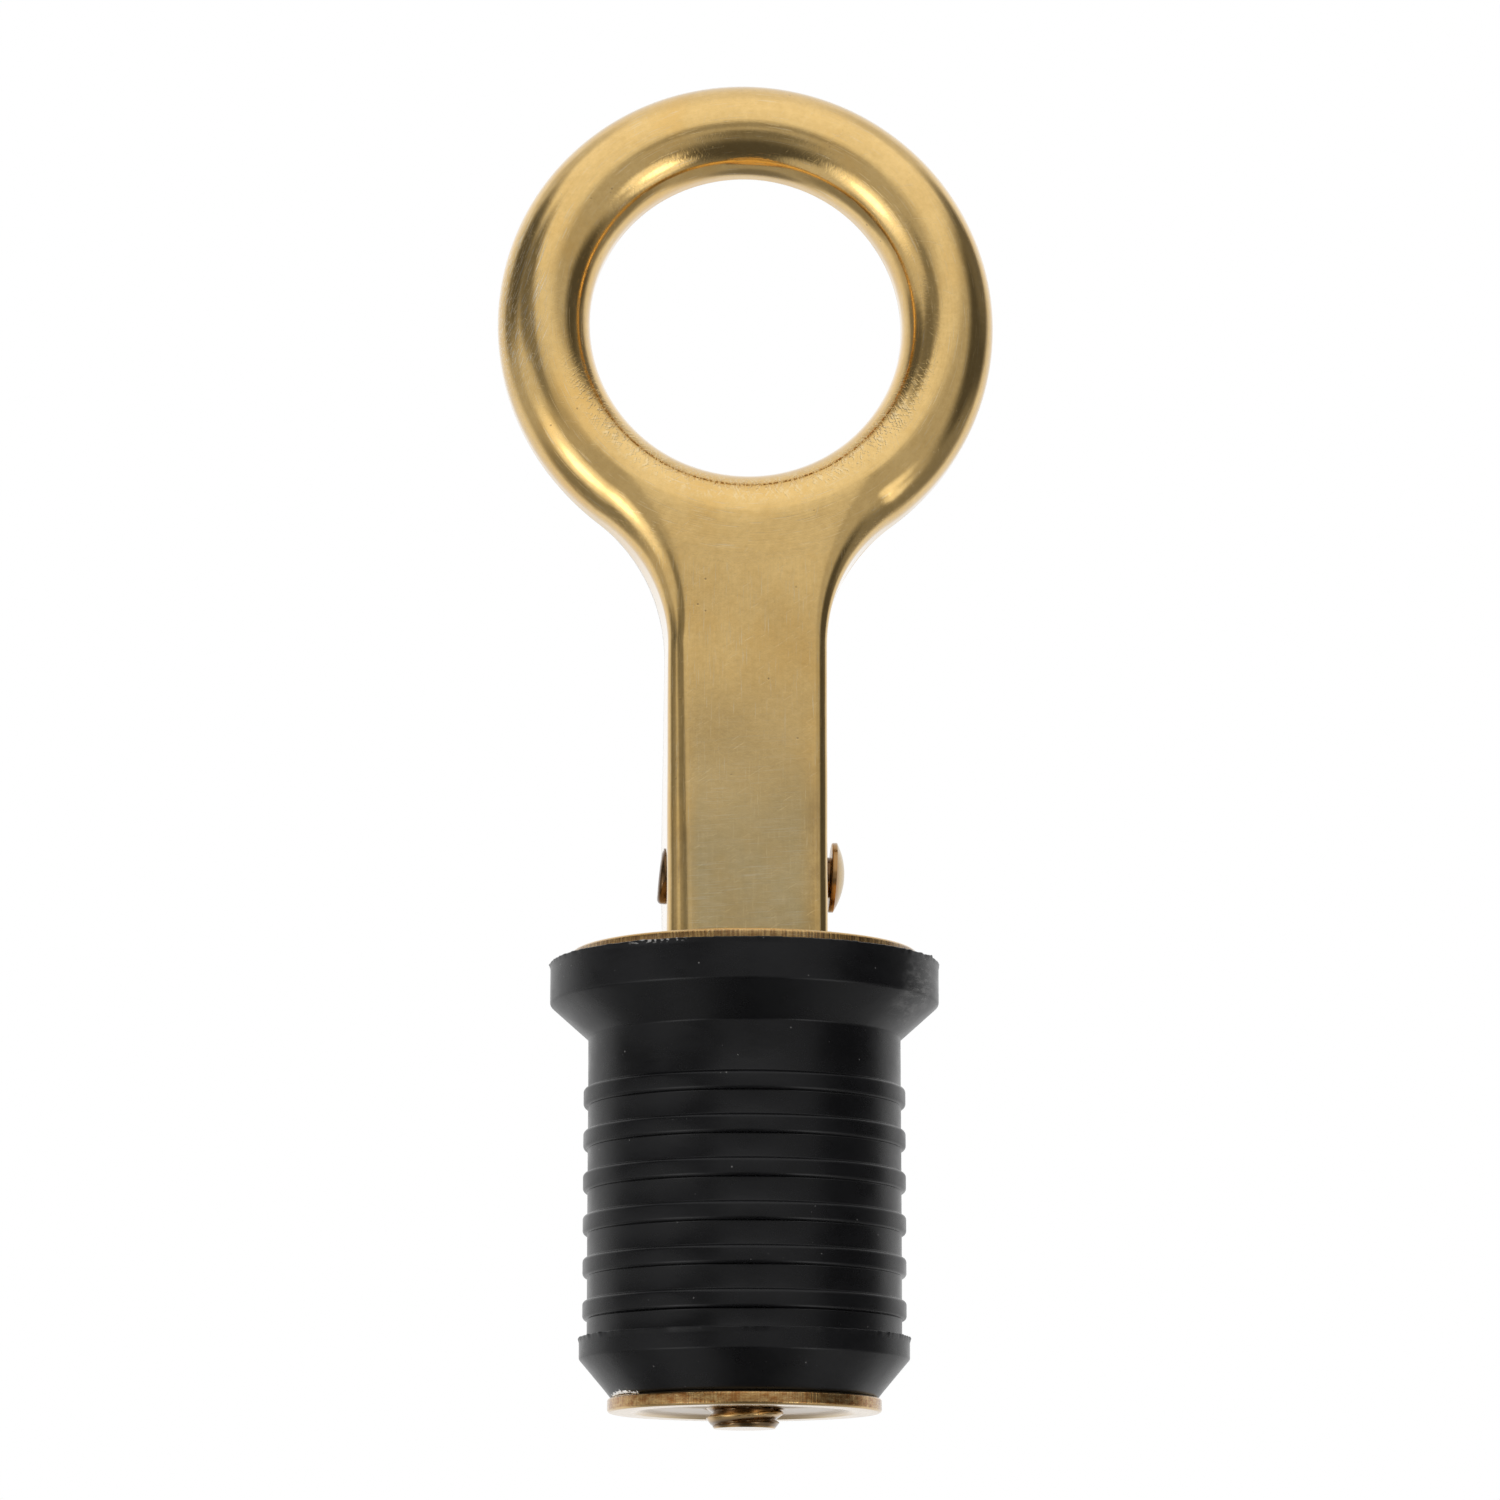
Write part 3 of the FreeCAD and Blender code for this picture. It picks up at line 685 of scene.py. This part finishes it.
class Nodes:
    """A node tree, with short calls for the nodes that the finishes and the studio use."""

    def __init__(self, tree):
        self.tree = tree

    def feed(self, node, inputs):
        """Link a node's inputs to sockets, or set them to numbers and colours."""
        for key, source in inputs.items():
            if isinstance(source, bpy.types.NodeSocket):
                self.tree.links.new(source, node.inputs[key])
            else:
                node.inputs[key].default_value = source
        return node

    def node(self, kind, inputs=None, **settings):
        made = self.tree.nodes.new(kind)
        for name, setting in settings.items():
            setattr(made, name, setting)
        return self.feed(made, inputs or {})

    def math(self, operation, first, second=0.0):
        return self.node("ShaderNodeMath", {0: first, 1: second}, operation=operation).outputs[0]

    def sum(self, *terms):
        """Sum of sockets, each given with the number that it is multiplied by."""
        total = None
        for source, share in terms:
            scaled = self.math("MULTIPLY", source, share)
            total = scaled if total is None else self.math("ADD", total, scaled)
        return total

    def product(self, first, *others):
        for other in others:
            first = self.math("MULTIPLY", first, other)
        return first

    def vector(self, operation, first, second=(0, 0, 0)):
        """Result of a vector operation, a number where it measures something."""
        outputs = self.node("ShaderNodeVectorMath", {0: first, 1: second}, operation=operation).outputs
        return outputs["Value" if operation in ("LENGTH", "DISTANCE", "DOT_PRODUCT") else "Vector"]

    def split(self, place):
        return tuple(self.node("ShaderNodeSeparateXYZ", {0: place}).outputs)

    def join(self, across, deep, up=0.0):
        return self.node("ShaderNodeCombineXYZ", {0: across, 1: deep, 2: up}).outputs[0]

    def range(self, source, low, high, to_low=0.0, to_high=1.0, shape="LINEAR"):
        """A number that goes from to_low to to_high as the source goes from low to high."""
        inputs = {"Value": source, "From Min": low, "From Max": high, "To Min": to_low, "To Max": to_high}
        return self.node("ShaderNodeMapRange", inputs, interpolation_type=shape).outputs[0]

    def ramp(self, length, low, high, *levels):
        """The same for a length, with low and high in millimetres."""
        return self.range(length, low * MM, high * MM, *levels)

    def mix(self, share, first, second):
        """Mix two colours, each a socket or three numbers."""
        first, second = (
            colour if isinstance(colour, bpy.types.NodeSocket) else (*colour, 1) for colour in (first, second)
        )
        return self.node("ShaderNodeMix", {0: share, 6: first, 7: second}, data_type="RGBA").outputs[2]

    def blend(self, share, first, second):
        """Mix two numbers."""
        return self.node("ShaderNodeMix", {0: share, 2: first, 3: second}).outputs[0]


class Shader(Nodes):
    """A material with one Principled shader, which the calls below change step by step."""

    def __init__(self, name):
        self.material = bpy.data.materials.new(name)
        self.material.use_nodes = True
        super().__init__(self.material.node_tree)
        self.base = self.tree.nodes["Principled BSDF"]
        self.place = self.node("ShaderNodeTexCoord").outputs["Object"]
        self.across, self.deep, self.up = self.split(self.place)

    def set(self, inputs):
        self.feed(self.base, inputs)

    def source(self, name):
        """The socket that one of the shader's inputs is linked to."""
        return self.base.inputs[name].links[0].from_socket

    def tint(self, colour, *shares):
        """Mix a colour into the base colour, by the product of the shares."""
        self.set({"Base Color": self.mix(self.product(*shares), self.source("Base Color"), colour)})

    def roughen(self, share, amount):
        self.set({"Roughness": self.sum((self.source("Roughness"), 1.0), (share, amount))})

    def emboss(self, height, depth):
        """Add a bump to the normal, with its depth in millimetres."""
        inputs = {"Height": height, "Strength": 1.0, "Distance": depth * MM}
        if self.base.inputs["Normal"].is_linked:
            inputs["Normal"] = self.source("Normal")
        self.set({"Normal": self.node("ShaderNodeBump", inputs).outputs[0]})

    def off_axis(self):
        """Distance from the plug's axis."""
        return self.vector("LENGTH", self.join(self.across, self.deep))

    def distance(self, place):
        """Distance from a place in millimetres."""
        return self.vector("DISTANCE", self.place, tuple(length * MM for length in place))

    def turned(self, place, degrees):
        """Coordinates turned about their Y axis."""
        inputs = {"Vector": place, "Axis": (0, 1, 0), "Angle": math.radians(degrees)}
        return self.node("ShaderNodeVectorRotate", inputs).outputs[0]

    def stretched(self, place, sizes):
        """Coordinates, the object's own where place is None, in units of three sizes in millimetres."""
        place = self.place if place is None else place
        return self.vector("MULTIPLY", place, tuple(1 / (MM * size) for size in sizes))

    def noise(self, sizes, detail=3.0, roughness=0.5, place=None):
        """Noise with spots of about these sizes in millimetres."""
        place = self.stretched(place, sizes)
        inputs = {"Vector": place, "Scale": 1.0, "Detail": detail, "Roughness": roughness}
        return self.node("ShaderNodeTexNoise", inputs).outputs[0]

    def dots(self, spacing):
        """Round dots, 1 in their middles and 0 between them."""
        inputs = {"Vector": self.stretched(None, (spacing, spacing, spacing)), "Scale": 1.0}
        cells = self.node("ShaderNodeTexVoronoi", inputs)
        return self.range(cells.outputs["Distance"], 0.1, 0.05)

    def scratches(self, place, length, width, amount):
        """Thin marks along the place's X axis, 0 beside them and up to 1 in them, fewer for a high amount."""
        marks = self.noise((length, width * 4, width), detail=1.0, place=place)
        return self.range(marks, amount, amount + 0.06)


def shifted(colour, *changes):
    """A colour with its three channels multiplied by the changes."""
    return tuple(channel * change for channel, change in zip(colour, changes))


def brass(name, colour, roughness, grain_depth, streaks=None, coat=0.9):
    """Brass with slow and fine changes of tone, polishing marks, scratches and pits.

    streaks makes the coordinates whose X axis the polishing marks follow.
    """
    shader = Shader(name)
    place = streaks(shader) if streaks else shader.place
    lines = shader.noise((3.0, 0.14, 0.14), roughness=0.65, place=place)
    mottle = shader.noise((0.6, 0.6, 0.6), detail=5.0, roughness=0.75)
    cloud = shader.noise((3, 3, 4), roughness=0.6)
    tone = shader.range(shader.sum((mottle, 0.5), (lines, 0.15), (cloud, 0.35)), 0.4, 0.64)
    finish = shader.mix(tone, shifted(colour, 1.08, 1.10, 1.17), shifted(colour, 0.92, 0.90, 0.85))
    shader.set({"Base Color": finish, "Metallic": 1.0, "Coat Weight": coat, "Coat Roughness": 0.1})
    patina = shader.noise((7, 7, 9), detail=4.0, roughness=0.65)
    shader.tint(shifted(colour, 1.0, 0.91, 0.7), shader.range(patina, 0.5, 0.75, 0.0, 0.8))

    along = shader.scratches(place, length=2.4, width=0.07, amount=0.66)
    crossing = shader.scratches(shader.turned(place, 57), length=1.8, width=0.07, amount=0.72)
    marks = shader.math("MAXIMUM", along, crossing)
    shader.tint((0.95, 0.84, 0.62), marks, 0.3)
    clusters = shader.noise((3.5, 3.5, 3.5), detail=1.0)
    pit = shader.product(shader.dots(1.1), shader.range(clusters, 0.58, 0.62))
    shader.tint((0.16, 0.10, 0.045), pit, 0.45)

    rough = shader.range(lines, 0.3, 0.7, roughness * 0.8, roughness * 1.25)
    shader.set({"Roughness": shader.sum((rough, 1.0), (cloud, 0.03), (marks, 0.05))})
    shader.emboss(shader.sum((lines, 0.35), (mottle, 0.7), (marks, -0.4), (pit, -1.2)), grain_depth)
    return shader


def along_ring(shader):
    """Coordinates that run round the ring: along the circle, deep, and out from its centre."""
    across, deep, up = shader.split(shader.vector("ADD", shader.place, (0, 0, -HOLE_Z * MM)))
    middle = (RING_RADIUS + HOLE_RADIUS) / 2 * MM
    along = shader.math("MULTIPLY", shader.math("ARCTAN2", across, up), middle)
    out = shader.vector("LENGTH", shader.join(across, 0.0, up))
    return shader.join(along, deep, out), out


def handle_place(shader):
    """Polishing direction of the handle: round the ring, and along the shank below it."""
    around, out = along_ring(shader)
    upright = shader.join(shader.up, shader.deep, shader.across)
    on_ring = shader.ramp(out, RING_RADIUS + 0.5, RING_RADIUS - 0.5)
    return shader.node("ShaderNodeMix", {0: on_ring, 4: upright, 5: around}, data_type="VECTOR").outputs[1]


def turned_place(shader):
    """Direction of marks that run round the plug's axis."""
    angle = shader.math("ARCTAN2", shader.deep, shader.across)
    return shader.join(shader.math("MULTIPLY", angle, MARKS_RADIUS * MM), shader.off_axis(), shader.up)


def finish_handle():
    """Polished brass with a hazy, scratched patch low on the web, greyed by painted shade, and grinding
    strokes round the hole.
    """
    shader = brass(
        "polished_brass", (0.88, 0.585, 0.205), roughness=0.095, grain_depth=0.005, streaks=handle_place)
    aside = shader.math("ABSOLUTE", shader.across)
    on_web = shader.product(
        shader.ramp(aside, 5.2, 3.9),
        shader.ramp(shader.deep, 0.3 - WEB_FRONT, 0.1 - WEB_FRONT),
        shader.ramp(shader.up, 6.9, 8.4),
        shader.ramp(shader.up, 28, 13),
    )
    patches = shader.noise((2.5, 2.5, 4), detail=4.0, roughness=0.6)
    # The patch's greyer, duller colour is painted shade; the roughness it adds is real haze
    haze_and_shade = shader.product(on_web, shader.range(patches, 0.25, 0.6, 0.6, 1.0))
    level = shader.turned(shader.place, 4)
    shade_tones = shader.range(shader.noise((1.3, 2, 0.5), detail=5.0, roughness=0.65, place=level), 0.3, 0.7)
    shader.tint(shader.mix(shade_tones, (0.79, 0.61, 0.31), (0.69, 0.525, 0.24)), haze_and_shade)
    crosswise = shader.scratches(level, length=3.0, width=0.07, amount=0.62)
    shader.tint((0.98, 0.92, 0.75), on_web, crosswise, 0.2)
    # A browner band, in patches, along the shank's two bends low down
    bend_brown_band = shader.product(
        shader.ramp(aside, 4.4, 5.2),
        shader.ramp(aside, 6.0, 5.4),
        shader.ramp(shader.up, 24, 16),
        shader.range(patches, 0.45, 0.7),
    )
    shader.tint((0.30, 0.17, 0.06), bend_brown_band, 0.5)
    shader.roughen(haze_and_shade, 0.07)

    # Diagonal scratches at the left of the ring, and the strokes below the hole
    rubbed = shader.product(
        shader.ramp(shader.across, -15.6, -16.6),
        shader.ramp(shader.up, 50, 54),
        shader.ramp(shader.up, 67, 63),
        shader.scratches(shader.turned(shader.place, 68), length=2.2, width=0.06, amount=0.58),
    )
    around, out = along_ring(shader)
    strokes = shader.sum(*(
        (shader.noise((0.8, 2, 0.16), detail=2.0, place=shader.turned(around, turn)), 0.5)
        for turn in (52, 118)
    ))
    ground = shader.product(
        shader.ramp(out, HOLE_RADIUS + 3.2, HOLE_RADIUS + 2.3),
        shader.ramp(out, HOLE_RADIUS + 0.45, HOLE_RADIUS + 0.8),
        shader.ramp(shader.up, HOLE_Z - 3, HOLE_Z - 8, 0.12, 1.0),
        shader.range(strokes, 0.5, 0.6),
    )
    shader.tint((0.98, 0.90, 0.72), rubbed, 0.6)
    shader.tint((1.0, 0.80, 0.45), ground, 0.5)
    shader.emboss(shader.sum((ground, 1.5), (rubbed, -0.3)), 0.009)
    return shader.material


def finish_stamped(name, colour, rim_colour, radius, ribbing, bare_edge, inwards, coat=0.9, thin_film=0.35):
    """Stamped brass whose rim shows upright shear marks, as strong as ribbing, and a brown film.

    The film leaves the rounded edge at the height bare_edge clean; inwards is the way from it into the rim.
    Where the film is thinnest it has the share thin_film.
    """
    shader = brass(name, colour, roughness=0.2, grain_depth=0.006, streaks=turned_place, coat=coat)
    on_rim = shader.product(
        shader.ramp(shader.off_axis(), radius - 0.12, radius - 0.02),
        shader.ramp(shader.up, bare_edge + 0.08 * inwards, bare_edge + 0.2 * inwards),
    )
    direction = shader.vector("NORMALIZE", shader.join(shader.across, shader.deep))
    upright = shader.range(shader.noise((SHEAR_SIZE, SHEAR_SIZE, SHEAR_SIZE), place=direction), 0.35, 0.65)
    blots = shader.noise((0.8, 0.8, 0.4), detail=4.0, roughness=0.7)
    film = shader.sum((upright, 0.4 * ribbing), (blots, 1 - 0.4 * ribbing))
    shader.tint(rim_colour, on_rim, shader.range(film, 0.35, 0.62, thin_film, 1.0))
    shader.emboss(shader.product(on_rim, shader.sum((upright, ribbing), (blots, 1 - ribbing))), 0.04)
    return shader


def finish_washer():
    """Washer with a brown, strongly marked rim."""
    shader = finish_stamped(
        "washer_brass", (0.78, 0.51, 0.19), (0.31, 0.16, 0.045), WASHER_RADIUS,
        ribbing=0.8, bare_edge=WASHER_TOP, inwards=-1)
    return shader.material


def finish_plate():
    """Nut plate with a golden-brown rim, whose dished underside is duller, and darker by a painted
    reflection.
    """
    shader = finish_stamped(
        "plate_brass", (0.80, 0.55, 0.23), (0.42, 0.17, 0.03), PLATE_RADIUS,
        ribbing=0.25, bare_edge=PLATE_BASE, inwards=1, coat=0.7, thin_film=0.1)
    dish_edge = PLATE_RADIUS - PLATE_RIM
    dish = shader.product(
        shader.ramp(shader.up, PLATE_BASE + 0.1, PLATE_BASE + PLATE_DISH),
        shader.ramp(shader.off_axis(), dish_edge + 0.2, dish_edge),
    )
    # The dish's darker colour is a painted reflection; the roughness it adds is real
    shader.tint((0.50, 0.34, 0.19), dish, 0.5)
    shader.roughen(dish, 0.25)
    return shader.material


def finish_bolt():
    """Turned brass with painted shade, dark brown, in the roots of the thread."""
    shader = brass(
        "turned_brass", (0.66, 0.42, 0.16), roughness=0.2, grain_depth=0.006, streaks=turned_place)
    roots = shader.product(
        shader.ramp(shader.off_axis(), ROD_RADIUS - 0.12, ROD_RADIUS - 0.4),
        shader.ramp(shader.up, THREAD_TOP + 0.5, THREAD_TOP),
        shader.ramp(shader.up, BOLT_END + 0.05, BOLT_END + 0.15),
    )
    # Painted shade in the thread's roots
    shader.tint((0.16, 0.085, 0.03), roots, 0.85)
    return shader.material


def finish_rivet():
    """Plain brass rivet, copper-brown on the head's edge, and near black-brown as painted shade from there to
    the rolled tail.
    """
    shader = brass("rivet_brass", (0.66, 0.47, 0.22), roughness=0.2, grain_depth=0.008, coat=0.3)
    shader.tint((0.42, 0.22, 0.07), shader.ramp(shader.across, HEAD_EDGE + 0.25, HEAD_EDGE), 0.9)
    # Painted shade under the head, over the shank and the rolled tail
    shader.tint((0.13, 0.07, 0.03), shader.ramp(shader.across, HEAD_EDGE - 0.15, HEAD_EDGE - 0.4), 0.9)
    return shader.material


def finish_rubber():
    """Moulded black rubber: satin skin, faint flow marks, dust, crumbs, a pale scuff and a pale painted
    highlight on the bitten bottom edge.
    """
    shader = Shader("black_rubber")
    cloud = shader.noise((6, 6, 3), detail=5.0, roughness=0.6)
    skin = shader.mix(shader.range(cloud, 0.35, 0.7), (0.0015, 0.0015, 0.0018), (0.003, 0.003, 0.0036))
    shader.set({"Base Color": skin, "Specular IOR Level": 0.33})
    near_washer = shader.ramp(shader.up, FLANGE_TOP - 0.9, FLANGE_TOP - 0.3)
    clusters = shader.sum((shader.noise((1.1, 1.1, 1.1), detail=1.0), 1.0), (near_washer, 0.12))
    dust = shader.product(
        shader.dots(0.8),
        shader.range(clusters, 0.61, 0.66),
        shader.range(near_washer, 0.0, 1.0, 0.35, 1.0),
    )
    scuff = shader.product(
        shader.ramp(shader.distance(SCUFF_PLACE), 4.5, 1.5),
        shader.ramp(shader.up, 0.2, 1.0),
        shader.range(shader.noise((1.6, 1.6, 0.5), detail=5.0, roughness=0.7), 0.46, 0.8),
    )
    crumb = shader.noise((0.35, 0.35, 0.2), detail=1.0)
    crumbs = shader.product(
        shader.ramp(shader.distance(CRUMB_PLACE), 2.6, 1.6),
        shader.ramp(shader.up, FLANGE_TOP - 0.3, FLANGE_TOP - 0.15),
        shader.range(crumb, 0.54, 0.6, 0.0, 0.7),
    )
    # Pale paint on the bitten bottom edge: a painted highlight
    from_tear_highlight = shader.distance(TEAR_HIGHLIGHT_PLACE)
    ragged = shader.sum((crumb, 0.6 * MM), (shader.up, 1.0), (from_tear_highlight, 0.12))
    pale_painted_highlight = shader.product(
        shader.ramp(from_tear_highlight, 2.6, 2.4),
        shader.ramp(ragged, RUBBER_END + 0.7, RUBBER_END + 0.64),
    )
    shader.tint((0.42, 0.41, 0.40), shader.math("MAXIMUM", dust, crumbs), 0.6)
    shader.tint((0.24, 0.235, 0.23), scuff, 0.6)
    shader.tint((0.85, 0.85, 0.84), pale_painted_highlight)
    rough = shader.range(cloud, 0.3, 0.7, 0.21, 0.35)
    shader.set({"Roughness": shader.sum((rough, 1.0), (scuff, 0.2))})
    fine = shader.noise((0.12, 0.12, 0.12))
    wavy = shader.noise((2.5, 2.5, 1.2))
    shader.emboss(shader.sum((fine, 0.12), (wavy, 1.0)), 0.025)
    return shader.material


# Studio. A direction is given by its azimuth, 0 in front and positive to the right, and elevation
CAMERA_AIM = (0.43, 0.0, 23.08)
CAMERA_DISTANCE = 410.85
CAMERA_PITCH = 10.88
CAMERA_SWING = 3.0
CAMERA_LENS = 124.8
FLOOR_Z = -31.5                 # just below the nut plate at the end of its travel
FLOOR_RADIUS = 3000
FLOOR_FADE = (50, 160)          # distances where it starts to turn white, and has
FILL_LEVEL = 0.62
ROOM_LEVEL = 0.45
# Square soft boxes: name, azimuth, elevation, distance, side, watts
LAMPS = (
    ("top_box", -15, 70, 420, 260, 1.6),
    ("left_box", -55, 20, 450, 200, 0.9),
    ("right_box", 55, 25, 450, 200, 0.8),
)
# What gloss mirrors: azimuth, elevation, half-angles where it is full and where it ends, level
SURROUNDINGS = (
    (180, 25, 15, 70, 0.96),    # white background
    (-140, -12, 12, 38, 0.8),
    (140, -12, 12, 38, 0.8),
    (180, -75, 20, 50, 0.35),   # table behind
    (180, -45, 6, 20, 0.2),
    (0, 54, 32, 48.5, 0.86),    # front edge of the overhead box
    (0, 90, 38, 62, 0.92),      # soft box overhead
    (180, 68, 18, 45, 0.8),
    (-105, 50, 6, 22, 0.58),
    (105, 52, 6, 24, 0.62),
    (-60, -5, 8, 24, 0.62),
    (-84, 29, 10, 26, 0.11),    # dark room at the left
    (-100, 15, 5, 14, 0.2),
    (-48, 22, 7, 20, 0.17),
    (-31, 9, 4, 14, 0.22),
    (82, 8, 18, 38, 0.08),      # dark room at the right
    (98, 30, 8, 24, 0.14),
    (100, -25, 8, 30, 0.22),
    (-105, -42, 10, 30, 0.24),
    (4, -58, 12, 44, 0.08),     # dark gap in front, and the camera
    (1, -18, 4, 14, 0.18),
    (3, 5, 3, 7.5, 0.31),
    (-68, -58, 6, 22, 0.55),
    (-54, -28, 10, 26, 1.1),    # low boxes at the sides, with their bright middles
    (-54, -29, 3, 12, 2.3),
    (42, -31, 5, 15, 1.1),
    (61, -44, 8, 18, 1.05),
    (50, -40, 3, 10, 2.3),
)


def direction_of(azimuth, elevation):
    turn, lift = math.radians(azimuth), math.radians(elevation)
    return (math.sin(turn) * math.cos(lift), -math.cos(turn) * math.cos(lift), math.sin(lift))


def build_camera():
    data = bpy.data.cameras.new("camera")
    data.lens = CAMERA_LENS
    data.clip_start = 0.01
    camera = bpy.data.objects.new("camera", data)
    heading = Vector(direction_of(-CAMERA_SWING, -CAMERA_PITCH))
    camera.location = (Vector(CAMERA_AIM) + heading * CAMERA_DISTANCE) * MM
    camera.rotation_euler = heading.to_track_quat("Z", "Y").to_euler()
    bpy.context.scene.collection.objects.link(camera)
    bpy.context.scene.camera = camera


def build_world():
    """White for the camera, an even fill for matt surfaces, and a studio's lights and darks for gloss."""
    world = bpy.data.worlds.new("studio")
    bpy.context.scene.world = world
    world.use_nodes = True
    nodes = Nodes(world.node_tree)
    heading = nodes.node("ShaderNodeTexCoord").outputs["Generated"]
    level = ROOM_LEVEL
    for azimuth, elevation, full, end, brightness in SURROUNDINGS:
        closeness = nodes.vector("DOT_PRODUCT", heading, direction_of(azimuth, elevation))
        limits = [math.cos(math.radians(angle)) for angle in (end, full)]
        level = nodes.blend(nodes.range(closeness, *limits, shape="SMOOTHSTEP"), level, brightness)
    path = nodes.node("ShaderNodeLightPath").outputs
    level = nodes.blend(path["Is Glossy Ray"], FILL_LEVEL, level)
    level = nodes.blend(path["Is Camera Ray"], level, 1.0)
    nodes.feed(world.node_tree.nodes["Background"], {"Color": (1, 1, 1, 1), "Strength": level})


def build_floor():
    """Pale floor well below the plug, which fades into the white background away from it."""
    bpy.ops.mesh.primitive_circle_add(
        vertices=96, radius=FLOOR_RADIUS * MM, fill_type="NGON", location=(0, 0, FLOOR_Z * MM))
    floor = bpy.context.object
    floor.name = "floor"
    floor.visible_glossy = False
    shader = Shader("pale_floor")
    shader.set({"Base Color": (0.86, 0.86, 0.86, 1), "Roughness": 0.9})
    limits = [distance * MM for distance in FLOOR_FADE]
    far = shader.range(shader.vector("LENGTH", shader.place), *limits, shape="SMOOTHSTEP")
    white = shader.node("ShaderNodeEmission").outputs[0]
    faded = shader.node("ShaderNodeMixShader", {0: far, 1: shader.base.outputs[0], 2: white}).outputs[0]
    below = shader.node("ShaderNodeNewGeometry").outputs["Backfacing"]
    clear = shader.node("ShaderNodeBsdfTransparent").outputs[0]
    one_sided = shader.node("ShaderNodeMixShader", {0: below, 1: faded, 2: clear}).outputs[0]
    shader.feed(shader.tree.nodes["Material Output"], {"Surface": one_sided})
    floor.data.materials.append(shader.material)


def build_lamp(name, azimuth, elevation, distance, size, power):
    """Square soft box that faces the middle of the plug."""
    lamp = bpy.data.lights.new(name, "AREA")
    lamp.size = size * MM
    lamp.energy = power
    holder = bpy.data.objects.new(name, lamp)
    heading = Vector(direction_of(azimuth, elevation))
    holder.location = Vector(CAMERA_AIM) * MM + heading * distance * MM
    holder.rotation_euler = heading.to_track_quat("Z", "Y").to_euler()
    holder.visible_glossy = False
    bpy.context.scene.collection.objects.link(holder)


build_camera()
build_world()
build_floor()
for box in LAMPS:
    build_lamp(*box)
bpy.context.scene.view_settings.view_transform = "Standard"

rubber = dress(make_rubber(), "plug", "rubber", finish_rubber(), "rubber_plug")
dress(make_washer(), "washer", "washer_brass", finish_washer(), "top_washer")
dress(make_plate(), "nut", "plate_brass", finish_plate(), "nut_plate")
dress(make_bolt(), "bolt", "bolt_brass", finish_bolt(), "eye_bolt")
dress(make_rivet(), "lever", "rivet_brass", finish_rivet(), "pivot_rivet")
dress(make_handle(), "lever", "handle_brass", finish_handle(), "lever_handle")

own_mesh(rubber)
